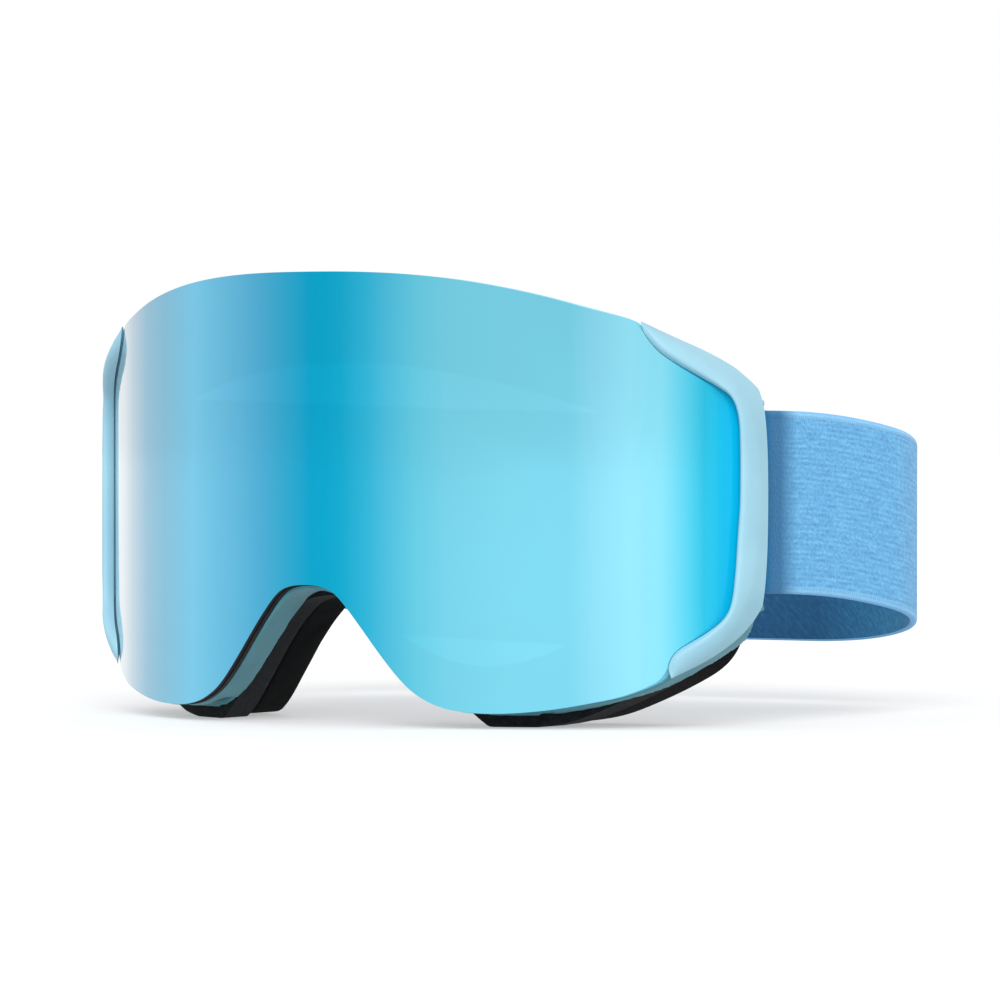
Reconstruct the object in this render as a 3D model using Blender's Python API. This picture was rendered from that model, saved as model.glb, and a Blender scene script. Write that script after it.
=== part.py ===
"""Ski goggles: a magnetic cylindrical lens, a clawed frame, face foam and an elastic strap.

The lens faces -Y, +Z is up, and the goggles stand on the flat underside of the foam at Z = 0.
Every curved layer follows one vertical cylinder, whose axis is at Y = AXIS_Y.
Lengths are in metres.
"""

from math import asin, cos, pi, radians, sin

import bmesh
import bpy
import numpy as np
from mathutils import Matrix, Vector

# ---- driving dimensions ----
LENS_RADIUS = 0.099  # outer face of the lens
GAP = 0.0003  # between pieces that touch

LENS_THICKNESS = 0.0014
GASKET_THICKNESS = 0.0008
CARRIER_DEPTH = 0.0030
INNER_LENS_THICKNESS = 0.0010
FRAME_DEPTH = 0.0090
BASE_FOAM_DEPTH = 0.0092
FLEECE_DEPTH = 0.0134
CLAW_PROUD = 0.0030  # how far a claw stands out in front of the lens
CLAW_DEPTH = 0.0110

RIM_WIDTH = 0.0042  # the frame's front rim, outside the recess for the carrier
PORT_INSET = 0.0105  # lens edge to the edge of the eye port
GASKET_INSET = 0.0004
CARRIER_INSET = 0.0046
INNER_LENS_INSET = 0.0078
FOAM_WIDTH = 0.0125

MAGNET_RADIUS = 0.0021
MAGNET_LENGTH = 0.0012
MAGNET_SINK = 0.0004  # how far a magnet lies below the face that it is set in

VENT_WIDTH = 0.0200
VENT_DEPTH = 0.0036
VENT_LENGTH = 0.0045  # of the foam plug, up and down
VENT_CUT = 0.0240

STRAP_WIDTH = 0.0400
STRAP_THICKNESS = 0.0018
STRAP_HALF_SPAN = 0.0800  # middle of the webbing at each side
STRAP_CORNER_RADIUS = 0.0450
STRAP_BACK_Y = 0.0513  # middle of the webbing at the back, from the cylinder's axis
STRAP_START_Y = -0.0270
STRAP_SIDE_Z = 0.0462  # middle of the webbing's width at the pins
STRAP_BACK_Z = 0.0340  # the same at the back, where the strap has sagged
SAG_BIAS = 1.3  # above 1, the strap sinks later along its way
CORNER_STEP = radians(7.5)

PIN_X = 0.0775
PIN_Y = -0.0445
PIN_RADIUS = 0.0012
PIN_LENGTH = 0.0445
LUG_HEIGHT = 0.0018
# an ear's outline in plan, from the pin's axis: X outwards, Y back
LUG_OUTLINE = (
    (-0.0031, -0.0072), (0.0040, -0.0072), (0.0034, -0.0040), (0.0019, -0.0004), (0.0010, 0.0022),
    (-0.0012, 0.0025), (-0.0026, 0.0014), (-0.0031, -0.0010),
)
END_LOOP_RADIUS = 0.0034
END_HOLE_RADIUS = 0.0016
END_GAP = 0.0010  # between a strap end and the strap, so that the end can swing

SLIDER_X = -0.0180
SLIDER_WIDTH = 0.0200
SLIDER_WALL = 0.0013
SLIDER_ROOM_IN = 0.0021  # the slider's channel, from the middle of the webbing inwards
SLIDER_ROOM_OUT = 0.0035  # and outwards, round the folded layer
SLIDER_MARGIN = 0.0040
SLIDER_CLEARANCE = 0.0008  # above and below the webbing
SLIDER_BAR = 0.0036
WINDOW_MARGIN = 0.0020
FOLD_LOW_X = -0.0345
FOLD_HIGH_X = -0.0010
GRIP_THICKNESS = 0.0005
GRIP_WIDTH = 0.0022
GRIP_OFFSETS = (-0.0055, 0.0025, 0.0105)

ARC_STEP = radians(3.6)
ARC_HALF_ANGLE = radians(76)  # wider than any piece
OUTLINE_STEP = 0.0034
OUTLINE_SLACK = 0.985  # the share of an inset that a kept point must be away by
WELD_DISTANCE = 0.000002
SLAB_LOW = -0.0200
SLAB_HIGH = 0.1200
OVERCUT = 0.0010  # how far a cutter reaches past what it cuts
ROUND_SIDES = 16
LOOP_SIDES = 24

# the lens cylinder's axis, placed so that the whole box is centred on Y = 0
AXIS_Y = (LENS_RADIUS - STRAP_BACK_Y - SLIDER_ROOM_OUT - SLIDER_WALL) / 2

# ---- half outlines, (X, Z) from the top middle round to the notch's middle ----
LENS_OUTLINE = (
    (0.0, 0.0953), (0.0183, 0.0949), (0.0336, 0.0934), (0.0475, 0.0906), (0.0600, 0.0867),
    (0.0655, 0.0845), (0.0674, 0.0820), (0.0697, 0.0783), (0.0727, 0.0755), (0.0755, 0.0732),
    (0.0783, 0.0708), (0.0800, 0.0688), (0.0809, 0.0655), (0.0812, 0.0600), (0.0812, 0.0475),
    (0.0809, 0.0400), (0.0805, 0.0310), (0.0799, 0.0255), (0.0787, 0.0227), (0.0765, 0.0201),
    (0.0741, 0.0180), (0.0725, 0.0166), (0.0714, 0.0149), (0.0708, 0.0125), (0.0692, 0.0098),
    (0.0640, 0.0070), (0.0585, 0.0055), (0.0520, 0.0042), (0.0460, 0.0035), (0.0400, 0.0033),
    (0.0345, 0.0037), (0.0298, 0.0049), (0.0250, 0.0076), (0.0204, 0.0122), (0.0098, 0.0253),
    (0.0058, 0.0287), (0.0, 0.0296),
)
FRAME_OUTLINE = (
    (0.0, 0.0951), (0.0183, 0.0942), (0.0336, 0.0921), (0.0475, 0.0889), (0.0600, 0.0846),
    (0.0672, 0.0800), (0.0732, 0.0752), (0.0786, 0.0704), (0.0822, 0.0645), (0.0838, 0.0560),
    (0.0838, 0.0400), (0.0830, 0.0300), (0.0806, 0.0222), (0.0770, 0.0165), (0.0727, 0.0127),
    (0.0668, 0.0084), (0.0610, 0.0060), (0.0537, 0.0038), (0.0457, 0.0025), (0.0383, 0.0021),
    (0.0322, 0.0030), (0.0255, 0.0068), (0.0205, 0.0118), (0.0094, 0.0246), (0.0054, 0.0276),
    (0.0, 0.0284),
)
FOAM_OUTLINE = (
    (0.0, 0.0934), (0.0183, 0.0918), (0.0320, 0.0888), (0.0450, 0.0850), (0.0550, 0.0804),
    (0.0630, 0.0742), (0.0680, 0.0665), (0.0703, 0.0580), (0.0707, 0.0460), (0.0707, 0.0320),
    (0.0707, 0.0225), (0.0697, 0.0160), (0.0672, 0.0115), (0.0626, 0.0078), (0.0560, 0.0039),
    (0.0500, 0.0012), (0.0440, 0.0), (0.0392, 0.0), (0.0342, 0.0), (0.0303, 0.0034),
    (0.0266, 0.0078), (0.0231, 0.0122), (0.0195, 0.0168), (0.0152, 0.0216), (0.0098, 0.0256),
    (0.0, 0.0272),
)
FOAM_FLAT = (16, 18)  # the ends of the flat in FOAM_OUTLINE that the goggles stand on
# a claw's outer edge from its upper tip to its lower one, then its inner edge back up
CLAW_OUTLINE = (
    (0.0671, 0.0847), (0.0711, 0.0814), (0.0754, 0.0781), (0.0790, 0.0745), (0.0820, 0.0706),
    (0.0838, 0.0662), (0.0846, 0.0560), (0.0846, 0.0400), (0.0839, 0.0300), (0.0826, 0.0238),
    (0.0808, 0.0198), (0.0786, 0.0166), (0.0756, 0.0136), (0.0718, 0.0106), (0.0717, 0.0127),
    (0.0720, 0.0147), (0.0731, 0.0163), (0.0745, 0.0176), (0.0769, 0.0197), (0.0792, 0.0223),
    (0.0804, 0.0251), (0.0810, 0.0310), (0.0814, 0.0400), (0.0817, 0.0475), (0.0817, 0.0600),
    (0.0814, 0.0657), (0.0804, 0.0693), (0.0786, 0.0713), (0.0758, 0.0737), (0.0730, 0.0760),
    (0.0701, 0.0787), (0.0680, 0.0821),
)
CLAW_TIPS = (0, 13)  # the two corners in CLAW_OUTLINE that stay sharp

MAGNET_PLACES = (
    (0.0200, 0.0872), (0.0590, 0.0792), (0.0738, 0.0450), (0.0600, 0.0134),
)
VENT_X = 0.0390  # the outer slots and their plugs, above and below
# the space behind each claw that is left free for the strap, in X and Y from the axis
CLAW_RELIEF = (
    (0.0760, -0.0482), (0.0825, -0.0506), (0.0860, -0.0523), (0.0950, -0.0523), (0.0950, -0.0200),
    (0.0760, -0.0200),
)

COLOURS = {
    "lens": ((0.10, 0.60, 0.80), 0.08, 0.9),
    "frame": ((0.42, 0.74, 0.86), 0.55, 0.0),
    "gasket": ((0.02, 0.02, 0.025), 0.70, 0.0),
    "carrier": ((0.03, 0.03, 0.035), 0.50, 0.0),
    "inner_lens": ((0.50, 0.56, 0.60), 0.10, 0.0),
    "magnet": ((0.62, 0.62, 0.64), 0.30, 1.0),
    "base_foam": ((0.016, 0.020, 0.023), 0.95, 0.0),
    "fleece": ((0.006, 0.006, 0.008), 1.0, 0.0),
    "vent_foam": ((0.020, 0.022, 0.025), 1.0, 0.0),
    "pin": ((0.60, 0.60, 0.62), 0.28, 1.0),
    "strap": ((0.16, 0.46, 0.82), 0.90, 0.0),
    "slider": ((0.14, 0.42, 0.72), 0.40, 0.0),
    "grip": ((0.55, 0.75, 0.88), 0.45, 0.0),
}


# ---- scene ----
def empty_scene():
    for old in list(bpy.data.objects):
        bpy.data.objects.remove(old, do_unlink=True)


def new_collection(name):
    collection = bpy.data.collections.new(name)
    bpy.context.scene.collection.children.link(collection)
    return collection


def make_material(name):
    colour, roughness, metallic = COLOURS[name]
    material = bpy.data.materials.new(name)
    material.use_nodes = True
    shader = material.node_tree.nodes["Principled BSDF"]
    shader.inputs["Base Color"].default_value = (*colour, 1.0)
    shader.inputs["Roughness"].default_value = roughness
    shader.inputs["Metallic"].default_value = metallic
    return material


# ---- outlines ----
def smooth_loop(points, sharp=(), step=OUTLINE_STEP):
    """A closed curve through the points: Catmull-Rom, with a corner at each sharp index."""
    count = len(points)
    loop = []
    for i in range(count):
        start, end = np.array(points[i]), np.array(points[(i + 1) % count])
        before, after = np.array(points[i - 1]), np.array(points[(i + 2) % count])
        chord = np.linalg.norm(end - start)
        leaving = (end - before) * chord / (np.linalg.norm(start - before) + chord)
        arriving = (after - start) * chord / (np.linalg.norm(after - end) + chord)
        if i in sharp:
            leaving = end - start
        if (i + 1) % count in sharp:
            arriving = end - start
        pieces = max(1, round(chord / step))
        for j in range(pieces):
            t = j / pieces
            spot = (2 * t**3 - 3 * t**2 + 1) * start + (t**3 - 2 * t**2 + t) * leaving
            spot = spot + (3 * t**2 - 2 * t**3) * end + (t**3 - t**2) * arriving
            loop.append(spot)
    return np.array(loop)


def mirrored_loop(half, corners=()):
    """A closed outline from its +X half, whose first and last points lie on X = 0."""
    other = [(-x, z) for x, z in half[-2:0:-1]]
    turn = 2 * (len(half) - 1)
    sharp = set(corners) | {turn - index for index in corners}
    return smooth_loop(list(half) + other, sharp)


def inset(loop, distance):
    """The outline moved inwards, without the points that would cross over at a corner."""
    ahead = np.roll(loop, -1, axis=0) - np.roll(loop, 1, axis=0)
    normals = np.stack([ahead[:, 1], -ahead[:, 0]], axis=1)
    normals /= np.linalg.norm(normals, axis=1, keepdims=True)
    area = np.sum(loop[:, 0] * np.roll(loop[:, 1], -1) - np.roll(loop[:, 0], -1) * loop[:, 1])
    moved = loop - np.sign(area) * normals * distance
    kept = []
    for spot in moved:
        nearest = segment_distances(spot, loop).min()
        if nearest > abs(distance) * OUTLINE_SLACK:
            kept.append(spot)
    return evenly(np.array(kept + kept[:1]), OUTLINE_STEP)


def evenly(line, step):
    """The closed line's points again, evenly spaced."""
    lengths = np.linalg.norm(np.diff(line, axis=0), axis=1)
    along = np.concatenate([[0.0], np.cumsum(lengths)])
    at = np.linspace(0.0, along[-1], round(along[-1] / step), endpoint=False)
    return np.stack([np.interp(at, along, line[:, 0]), np.interp(at, along, line[:, 1])], axis=1)


def segment_distances(spot, loop):
    start = loop
    span = np.roll(loop, -1, axis=0) - start
    share = np.sum((spot - start) * span, axis=1) / np.sum(span * span, axis=1)
    foot = start + np.clip(share, 0, 1)[:, None] * span
    return np.linalg.norm(foot - spot, axis=1)


# ---- solids ----
def flat_solid(name, loops, depth, matrix, collection):
    """A closed mesh: the filled outlines, the first with the others as holes, extruded."""
    curve = bpy.data.curves.new(name, "CURVE")
    curve.dimensions = "2D"
    curve.fill_mode = "BOTH"
    curve.extrude = depth / 2
    for loop in loops:
        spline = curve.splines.new("POLY")
        spline.points.add(len(loop) - 1)
        for point, spot in zip(spline.points, loop):
            point.co = (spot[0], spot[1], 0.0, 1.0)
        spline.use_cyclic_u = True
    source = bpy.data.objects.new(name + ".curve", curve)
    collection.objects.link(source)
    source.matrix_world = matrix
    bpy.context.view_layer.update()
    evaluated = source.evaluated_get(bpy.context.evaluated_depsgraph_get())
    mesh = bpy.data.meshes.new_from_object(evaluated)
    mesh.transform(matrix)
    weld(mesh)
    bpy.data.objects.remove(source, do_unlink=True)
    solid = bpy.data.objects.new(name, mesh)
    collection.objects.link(solid)
    return solid


def weld(mesh):
    work = bmesh.new()
    work.from_mesh(mesh)
    bmesh.ops.remove_doubles(work, verts=work.verts, dist=WELD_DISTANCE)
    bmesh.ops.recalc_face_normals(work, faces=work.faces)
    work.to_mesh(mesh)
    work.free()


def front_prism(name, loops, low_y, high_y, collection):
    """Outlines in X and Z, extruded along Y."""
    stand_up = Matrix.Translation((0, (low_y + high_y) / 2, 0)) @ Matrix.Rotation(pi / 2, 4, "X")
    return flat_solid(name, loops, high_y - low_y, stand_up, collection)


def plan_prism(name, loops, low_z, high_z, collection):
    """Outlines in X and Y, extruded along Z."""
    lift = Matrix.Translation((0, 0, (low_z + high_z) / 2))
    return flat_solid(name, loops, high_z - low_z, lift, collection)


def arc_points(radius, back):
    """A front arc of the cylinder from -X to +X, moved back along Y."""
    count = round(2 * ARC_HALF_ANGLE / ARC_STEP)
    spots = []
    for i in range(count + 1):
        angle = ARC_HALF_ANGLE * (2 * i / count - 1)
        spots.append((radius * sin(angle), AXIS_Y - radius * cos(angle) + back))
    return spots


def slab(name, front, back, collection):
    """The layer between two arcs, each given as (radius, shift back), over the full height."""
    outline = arc_points(*front) + arc_points(*back)[::-1]
    return plan_prism(name, [outline], SLAB_LOW, SLAB_HIGH, collection)


def box(name, size, matrix, collection):
    work = bmesh.new()
    bmesh.ops.create_cube(work, size=1.0)
    bmesh.ops.transform(work, matrix=matrix @ Matrix.Diagonal((*size, 1.0)), verts=work.verts)
    mesh = bpy.data.meshes.new(name)
    work.to_mesh(mesh)
    work.free()
    solid = bpy.data.objects.new(name, mesh)
    collection.objects.link(solid)
    return solid


def rod(name, radius, length, matrix, collection, sides=ROUND_SIDES):
    """A cylinder along the matrix's Z axis."""
    work = bmesh.new()
    bmesh.ops.create_cone(work, cap_ends=True, segments=sides, radius1=radius, radius2=radius,
                          depth=length, matrix=matrix)
    mesh = bpy.data.meshes.new(name)
    work.to_mesh(mesh)
    work.free()
    solid = bpy.data.objects.new(name, mesh)
    collection.objects.link(solid)
    return solid


def combine(target, operation, other):
    """An exact Boolean, applied, which uses up the other solid."""
    modifier = target.modifiers.new(operation.lower(), "BOOLEAN")
    modifier.operation = operation
    modifier.solver = "EXACT"
    modifier.object = other
    bpy.context.view_layer.update()
    evaluated = target.evaluated_get(bpy.context.evaluated_depsgraph_get())
    mesh = bpy.data.meshes.new_from_object(evaluated)
    target.modifiers.clear()
    target.data = mesh
    weld(mesh)
    bpy.data.objects.remove(other, do_unlink=True)


def finish(solid, material, angle=35):
    solid.data.materials.clear()
    solid.data.materials.append(material)
    solid.data.shade_smooth()
    solid.data.set_sharp_from_angle(angle=radians(angle))


def on_cylinder(x, z, radius, back=0.0):
    """A place and turn on the cylinder's front: local Z points straight out of the lens."""
    angle = asin(x / radius)
    spot = Vector((x, AXIS_Y - radius * cos(angle) + back, z))
    turn = Matrix.Rotation(angle, 4, "Z") @ Matrix.Rotation(pi / 2, 4, "X")
    return Matrix.Translation(spot) @ turn


# ---- lens ----
LENS_BACK = LENS_RADIUS - LENS_THICKNESS
CARRIER_FRONT = LENS_BACK - GAP
GASKET_BACK = CARRIER_FRONT - GASKET_THICKNESS
CARRIER_BACK = CARRIER_FRONT - CARRIER_DEPTH
INNER_LENS_FRONT = CARRIER_BACK - GAP
INNER_LENS_BACK = INNER_LENS_FRONT - INNER_LENS_THICKNESS
RIM_FRONT = GASKET_BACK - GAP
RECESS_FLOOR = INNER_LENS_BACK - GAP
FRAME_BACK_SHIFT = LENS_RADIUS - RIM_FRONT + FRAME_DEPTH
BASE_SHIFT = FRAME_BACK_SHIFT + GAP
FLEECE_SHIFT = BASE_SHIFT + BASE_FOAM_DEPTH + GAP
FOAM_BACK_SHIFT = FLEECE_SHIFT + FLEECE_DEPTH
PRISM_FRONT = AXIS_Y - LENS_RADIUS - CLAW_PROUD - OVERCUT
PRISM_BACK = AXIS_Y


def layer(name, loops, front, back, collection):
    """A curved layer cut to an outline, with holes."""
    solid = front_prism(name, loops, PRISM_FRONT, PRISM_BACK, collection)
    combine(solid, "INTERSECT", slab(name + ".slab", front, back, collection))
    return solid


def build_lens(lens_loop, collection, materials):
    solid = layer("outer_lens", [lens_loop], (LENS_RADIUS, 0), (LENS_BACK, 0), collection)
    finish(solid, materials["lens"])
    loops = [inset(lens_loop, GASKET_INSET), inset(lens_loop, CARRIER_INSET - 2 * GAP)]
    solid = layer("lens_gasket", loops, (CARRIER_FRONT, 0), (GASKET_BACK, 0), collection)
    finish(solid, materials["gasket"])
    loop = inset(lens_loop, INNER_LENS_INSET)
    solid = layer("inner_lens", [loop], (INNER_LENS_FRONT, 0), (INNER_LENS_BACK, 0), collection)
    finish(solid, materials["inner_lens"])


def build_carrier(lens_loop, collection, materials):
    loops = [inset(lens_loop, CARRIER_INSET), inset(lens_loop, PORT_INSET)]
    solid = layer("lens_carrier", loops, (CARRIER_FRONT, 0), (CARRIER_BACK, 0), collection)
    finish(solid, materials["carrier"])
    return solid


def set_magnets(host, label, face_radius, inwards, collection, material):
    """Discs in round pockets: the pocket opens at face_radius and runs inwards (-1) or out."""
    pocket_length = MAGNET_LENGTH + MAGNET_SINK
    for side, word in ((-1, "left"), (1, "right")):
        for number, (x, z) in enumerate(MAGNET_PLACES, start=1):
            name = f"{label}_magnet_{word}_{number}"
            middle = face_radius + inwards * pocket_length / 2
            place = on_cylinder(side * x * middle / LENS_RADIUS, z, middle)
            pocket = rod("pocket", MAGNET_RADIUS + GAP, pocket_length + 2 * GAP, place, collection)
            combine(host, "DIFFERENCE", pocket)
            rest = face_radius + inwards * (MAGNET_SINK + MAGNET_LENGTH / 2)
            place = on_cylinder(side * x * rest / LENS_RADIUS, z, rest)
            disc = rod(name, MAGNET_RADIUS, MAGNET_LENGTH - GAP, place, collection)
            finish(disc, material)


# ---- frame ----
def build_frame(lens_loop, frame_loop, collection):
    port = inset(lens_loop, PORT_INSET)
    frame = layer("frame", [frame_loop, port], (RIM_FRONT, 0), (LENS_RADIUS, FRAME_BACK_SHIFT),
                  collection)
    recess = layer("recess", [inset(lens_loop, RIM_WIDTH), inset(lens_loop, PORT_INSET + OVERCUT)],
                   (RIM_FRONT + OVERCUT, 0), (RECESS_FLOOR, 0), collection)
    combine(frame, "DIFFERENCE", recess)
    for side in (-1, 1):
        combine(frame, "UNION", claw(side, collection))
        combine(frame, "DIFFERENCE", claw_relief(side, collection))
        for lug in strap_lugs(side, collection):
            combine(frame, "UNION", lug)
    return frame


def claw(side, collection):
    loop = smooth_loop([(side * x, z) for x, z in CLAW_OUTLINE], sharp=CLAW_TIPS)
    return layer("claw", [loop], (LENS_RADIUS + CLAW_PROUD, 0),
                 (LENS_RADIUS + CLAW_PROUD, CLAW_DEPTH), collection)


def claw_relief(side, collection):
    loop = [(side * x, AXIS_Y + y) for x, y in CLAW_RELIEF]
    return plan_prism("relief", [loop], SLAB_LOW, SLAB_HIGH, collection)


def strap_lugs(side, collection):
    """Two ears behind each claw, above and below the strap, that hold its pin."""
    loop = [(side * (PIN_X + x), AXIS_Y + PIN_Y + y) for x, y in LUG_OUTLINE]
    lugs = []
    for way in (-1, 1):
        outer = STRAP_SIDE_Z + way * PIN_LENGTH / 2
        inner = outer - way * LUG_HEIGHT
        lugs.append(plan_prism("lug", [loop], min(outer, inner), max(outer, inner), collection))
    return lugs


def cut_vents(frame, frame_loop, collection, materials):
    """Short slots through the top wall and the two bottom lobes, each with a foam plug."""
    places = [("top_left", -VENT_X), ("top_middle", 0.0), ("top_right", VENT_X)]
    places += [("bottom_left", -VENT_X), ("bottom_right", VENT_X)]
    shift = (FRAME_BACK_SHIFT + LENS_RADIUS - RECESS_FLOOR) / 2
    for name, x in places:
        column = frame_loop[np.abs(frame_loop[:, 0] - x) < OUTLINE_STEP]
        edge = column[:, 1].max() if name.startswith("top") else column[:, 1].min()
        way = -1 if name.startswith("top") else 1
        wall_middle = edge + way * PORT_INSET / 2
        angle = asin(x / LENS_RADIUS)
        y = AXIS_Y - LENS_RADIUS * cos(angle) + shift
        turn = Matrix.Translation((x, y, wall_middle)) @ Matrix.Rotation(angle, 4, "Z")
        slot = box("slot", (VENT_WIDTH, VENT_DEPTH, VENT_CUT), turn, collection)
        combine(frame, "DIFFERENCE", slot)
        plug_size = (VENT_WIDTH - 2 * GAP, VENT_DEPTH - 2 * GAP, VENT_LENGTH)
        plug = box("vent_foam_" + name, plug_size, turn, collection)
        finish(plug, materials["vent_foam"])


# ---- foam ----
def build_foam(foam_loop, collection, materials):
    inner = inset(foam_loop, FOAM_WIDTH)
    solid = layer("face_foam_base", [foam_loop, inner], (LENS_RADIUS, BASE_SHIFT),
                  (LENS_RADIUS, FLEECE_SHIFT - GAP), collection)
    finish(solid, materials["base_foam"])
    solid = layer("face_foam_fleece", [foam_loop, inner], (LENS_RADIUS, FLEECE_SHIFT),
                  (LENS_RADIUS, FOAM_BACK_SHIFT), collection)
    finish(solid, materials["fleece"])


# ---- strap ----
def strap_half_route():
    """The middle of the strap from the +X side round to the middle of the back, as X, Y."""
    corner_x = STRAP_HALF_SPAN - STRAP_CORNER_RADIUS
    corner_y = STRAP_BACK_Y - STRAP_CORNER_RADIUS
    route = [(STRAP_HALF_SPAN, STRAP_START_Y), (STRAP_HALF_SPAN, (STRAP_START_Y + corner_y) / 2)]
    turns = round(radians(90) / CORNER_STEP)
    for i in range(turns + 1):
        angle = radians(90) * i / turns
        route.append((corner_x + STRAP_CORNER_RADIUS * cos(angle),
                      corner_y + STRAP_CORNER_RADIUS * sin(angle)))
    route.append((0.0, STRAP_BACK_Y))
    return [(x, y + AXIS_Y) for x, y in route]


def strap_heights(route):
    """The middle of the webbing's width: it sags from the pins to the end of each corner."""
    spots = np.array(route)
    steps = np.linalg.norm(np.diff(spots, axis=0), axis=1)
    along = np.concatenate([[0.0], np.cumsum(steps)]) + STRAP_START_Y - PIN_Y
    share = np.clip(along / along[-2], 0, 1) ** SAG_BIAS
    return STRAP_SIDE_Z + (STRAP_BACK_Z - STRAP_SIDE_Z) * (1 - np.cos(pi * share)) / 2


def strap_spots():
    """Points X, Y, Z along the whole strap, from +X round the back to -X."""
    half = strap_half_route()
    right = [(x, y, z) for (x, y), z in zip(half, strap_heights(half))]
    left = [(-x, y, z) for x, y, z in right[-2::-1]]
    return right + left


def band(name, route, offset, thickness, low, high, collection):
    """A ribbon along the route: offset outwards, from low to high about the strap's middle."""
    spots = np.array(route)
    ahead = np.gradient(spots, axis=0)
    outward = np.stack([ahead[:, 1], -ahead[:, 0]], axis=1)
    outward /= np.linalg.norm(outward, axis=1, keepdims=True)
    work = bmesh.new()
    rings = []
    for spot, normal in zip(spots, outward):
        ring = []
        for across, up in ((-1, low), (1, low), (1, high), (-1, high)):
            x, y = spot[:2] + normal * (offset + across * thickness / 2)
            ring.append(work.verts.new((x, y, spot[2] + up)))
        rings.append(ring)
    for one, two in zip(rings, rings[1:]):
        for i in range(4):
            j = (i + 1) % 4
            work.faces.new((one[i], one[j], two[j], two[i]))
    work.faces.new(rings[0][::-1])
    work.faces.new(rings[-1])
    bmesh.ops.recalc_face_normals(work, faces=work.faces)
    mesh = bpy.data.meshes.new(name)
    work.to_mesh(mesh)
    work.free()
    solid = bpy.data.objects.new(name, mesh)
    collection.objects.link(solid)
    return solid


def build_strap(collection, materials):
    route = strap_spots()
    half = STRAP_WIDTH / 2
    solid = band("strap_main", route, 0.0, STRAP_THICKNESS, -half, half, collection)
    finish(solid, materials["strap"])
    inside = -(STRAP_THICKNESS / 2 + GAP + GRIP_THICKNESS / 2)
    for number, offset in enumerate(GRIP_OFFSETS, start=1):
        low, high = offset - GRIP_WIDTH / 2, offset + GRIP_WIDTH / 2
        solid = band(f"strap_grip_{number}", route, inside, GRIP_THICKNESS, low, high, collection)
        finish(solid, materials["grip"])
    back_y = AXIS_Y + STRAP_BACK_Y
    fold_route = [(FOLD_HIGH_X, back_y, STRAP_BACK_Z), (FOLD_LOW_X, back_y, STRAP_BACK_Z)]
    outside = STRAP_THICKNESS + GAP
    solid = band("strap_fold", fold_route, outside, STRAP_THICKNESS, -half, half, collection)
    finish(solid, materials["strap"])


def build_strap_ends(collection, materials):
    """Webbing doubled over a pin, with a flat tongue that runs back to the strap."""
    half = STRAP_WIDTH / 2
    for side, word in ((-1, "left"), (1, "right")):
        pin_place = Matrix.Translation((side * PIN_X, AXIS_Y + PIN_Y, STRAP_SIDE_Z))
        end = rod("strap_end_" + word, END_LOOP_RADIUS, STRAP_WIDTH, pin_place, collection,
                  LOOP_SIDES)
        length = STRAP_START_Y - END_GAP - PIN_Y
        middle_y = AXIS_Y + PIN_Y + length / 2
        tongue_x = STRAP_HALF_SPAN - STRAP_THICKNESS / 2
        place = Matrix.Translation((side * tongue_x, middle_y, STRAP_SIDE_Z))
        tongue = box("tongue", (2 * STRAP_THICKNESS, length, 2 * half), place, collection)
        combine(end, "UNION", tongue)
        hole = rod("hole", END_HOLE_RADIUS, 2 * STRAP_WIDTH, pin_place, collection)
        combine(end, "DIFFERENCE", hole)
        finish(end, materials["strap"])


def build_pins(frame, collection, materials):
    for side, word in ((-1, "left"), (1, "right")):
        place = Matrix.Translation((side * PIN_X, AXIS_Y + PIN_Y, STRAP_SIDE_Z))
        hole = rod("hole", PIN_RADIUS + GAP, PIN_LENGTH + OVERCUT, place, collection)
        combine(frame, "DIFFERENCE", hole)
        pin = rod("strap_pin_" + word, PIN_RADIUS, PIN_LENGTH, place, collection)
        finish(pin, materials["pin"])


def build_slider(collection, materials):
    """A flat sleeve round both webbing layers, with two windows and a bar on each face."""
    y = AXIS_Y + STRAP_BACK_Y + (SLIDER_ROOM_OUT - SLIDER_ROOM_IN) / 2
    room = SLIDER_ROOM_IN + SLIDER_ROOM_OUT
    depth = room + 2 * SLIDER_WALL
    place = Matrix.Translation((SLIDER_X, y, STRAP_BACK_Z))
    size = (SLIDER_WIDTH, depth, STRAP_WIDTH + 2 * SLIDER_MARGIN)
    slider = box("strap_slider", size, place, collection)
    size = (2 * SLIDER_WIDTH, room, STRAP_WIDTH + 2 * SLIDER_CLEARANCE)
    combine(slider, "DIFFERENCE", box("channel", size, place, collection))
    window_width = (SLIDER_WIDTH - 3 * SLIDER_BAR) / 2
    for way in (-1, 1):
        x = SLIDER_X + way * (SLIDER_BAR + window_width) / 2
        spot = Matrix.Translation((x, y, STRAP_BACK_Z))
        size = (window_width, 2 * depth, STRAP_WIDTH - 2 * WINDOW_MARGIN)
        combine(slider, "DIFFERENCE", box("window", size, spot, collection))
    finish(slider, materials["slider"])


def main():
    empty_scene()
    collection = new_collection("ski_goggles")
    materials = {name: make_material(name) for name in COLOURS}
    lens_loop = mirrored_loop(LENS_OUTLINE)
    frame_loop = mirrored_loop(FRAME_OUTLINE)
    foam_loop = mirrored_loop(FOAM_OUTLINE, FOAM_FLAT)
    build_lens(lens_loop, collection, materials)
    carrier = build_carrier(lens_loop, collection, materials)
    set_magnets(carrier, "lens", CARRIER_BACK, 1, collection, materials["magnet"])
    finish(carrier, materials["carrier"])
    frame = build_frame(lens_loop, frame_loop, collection)
    cut_vents(frame, frame_loop, collection, materials)
    set_magnets(frame, "frame", RECESS_FLOOR, -1, collection, materials["magnet"])
    build_pins(frame, collection, materials)
    finish(frame, materials["frame"])
    build_foam(foam_loop, collection, materials)
    build_strap(collection, materials)
    build_strap_ends(collection, materials)
    build_slider(collection, materials)


main()
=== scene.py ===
"""Ski goggles in a studio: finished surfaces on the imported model, floor, light and camera."""

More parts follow.
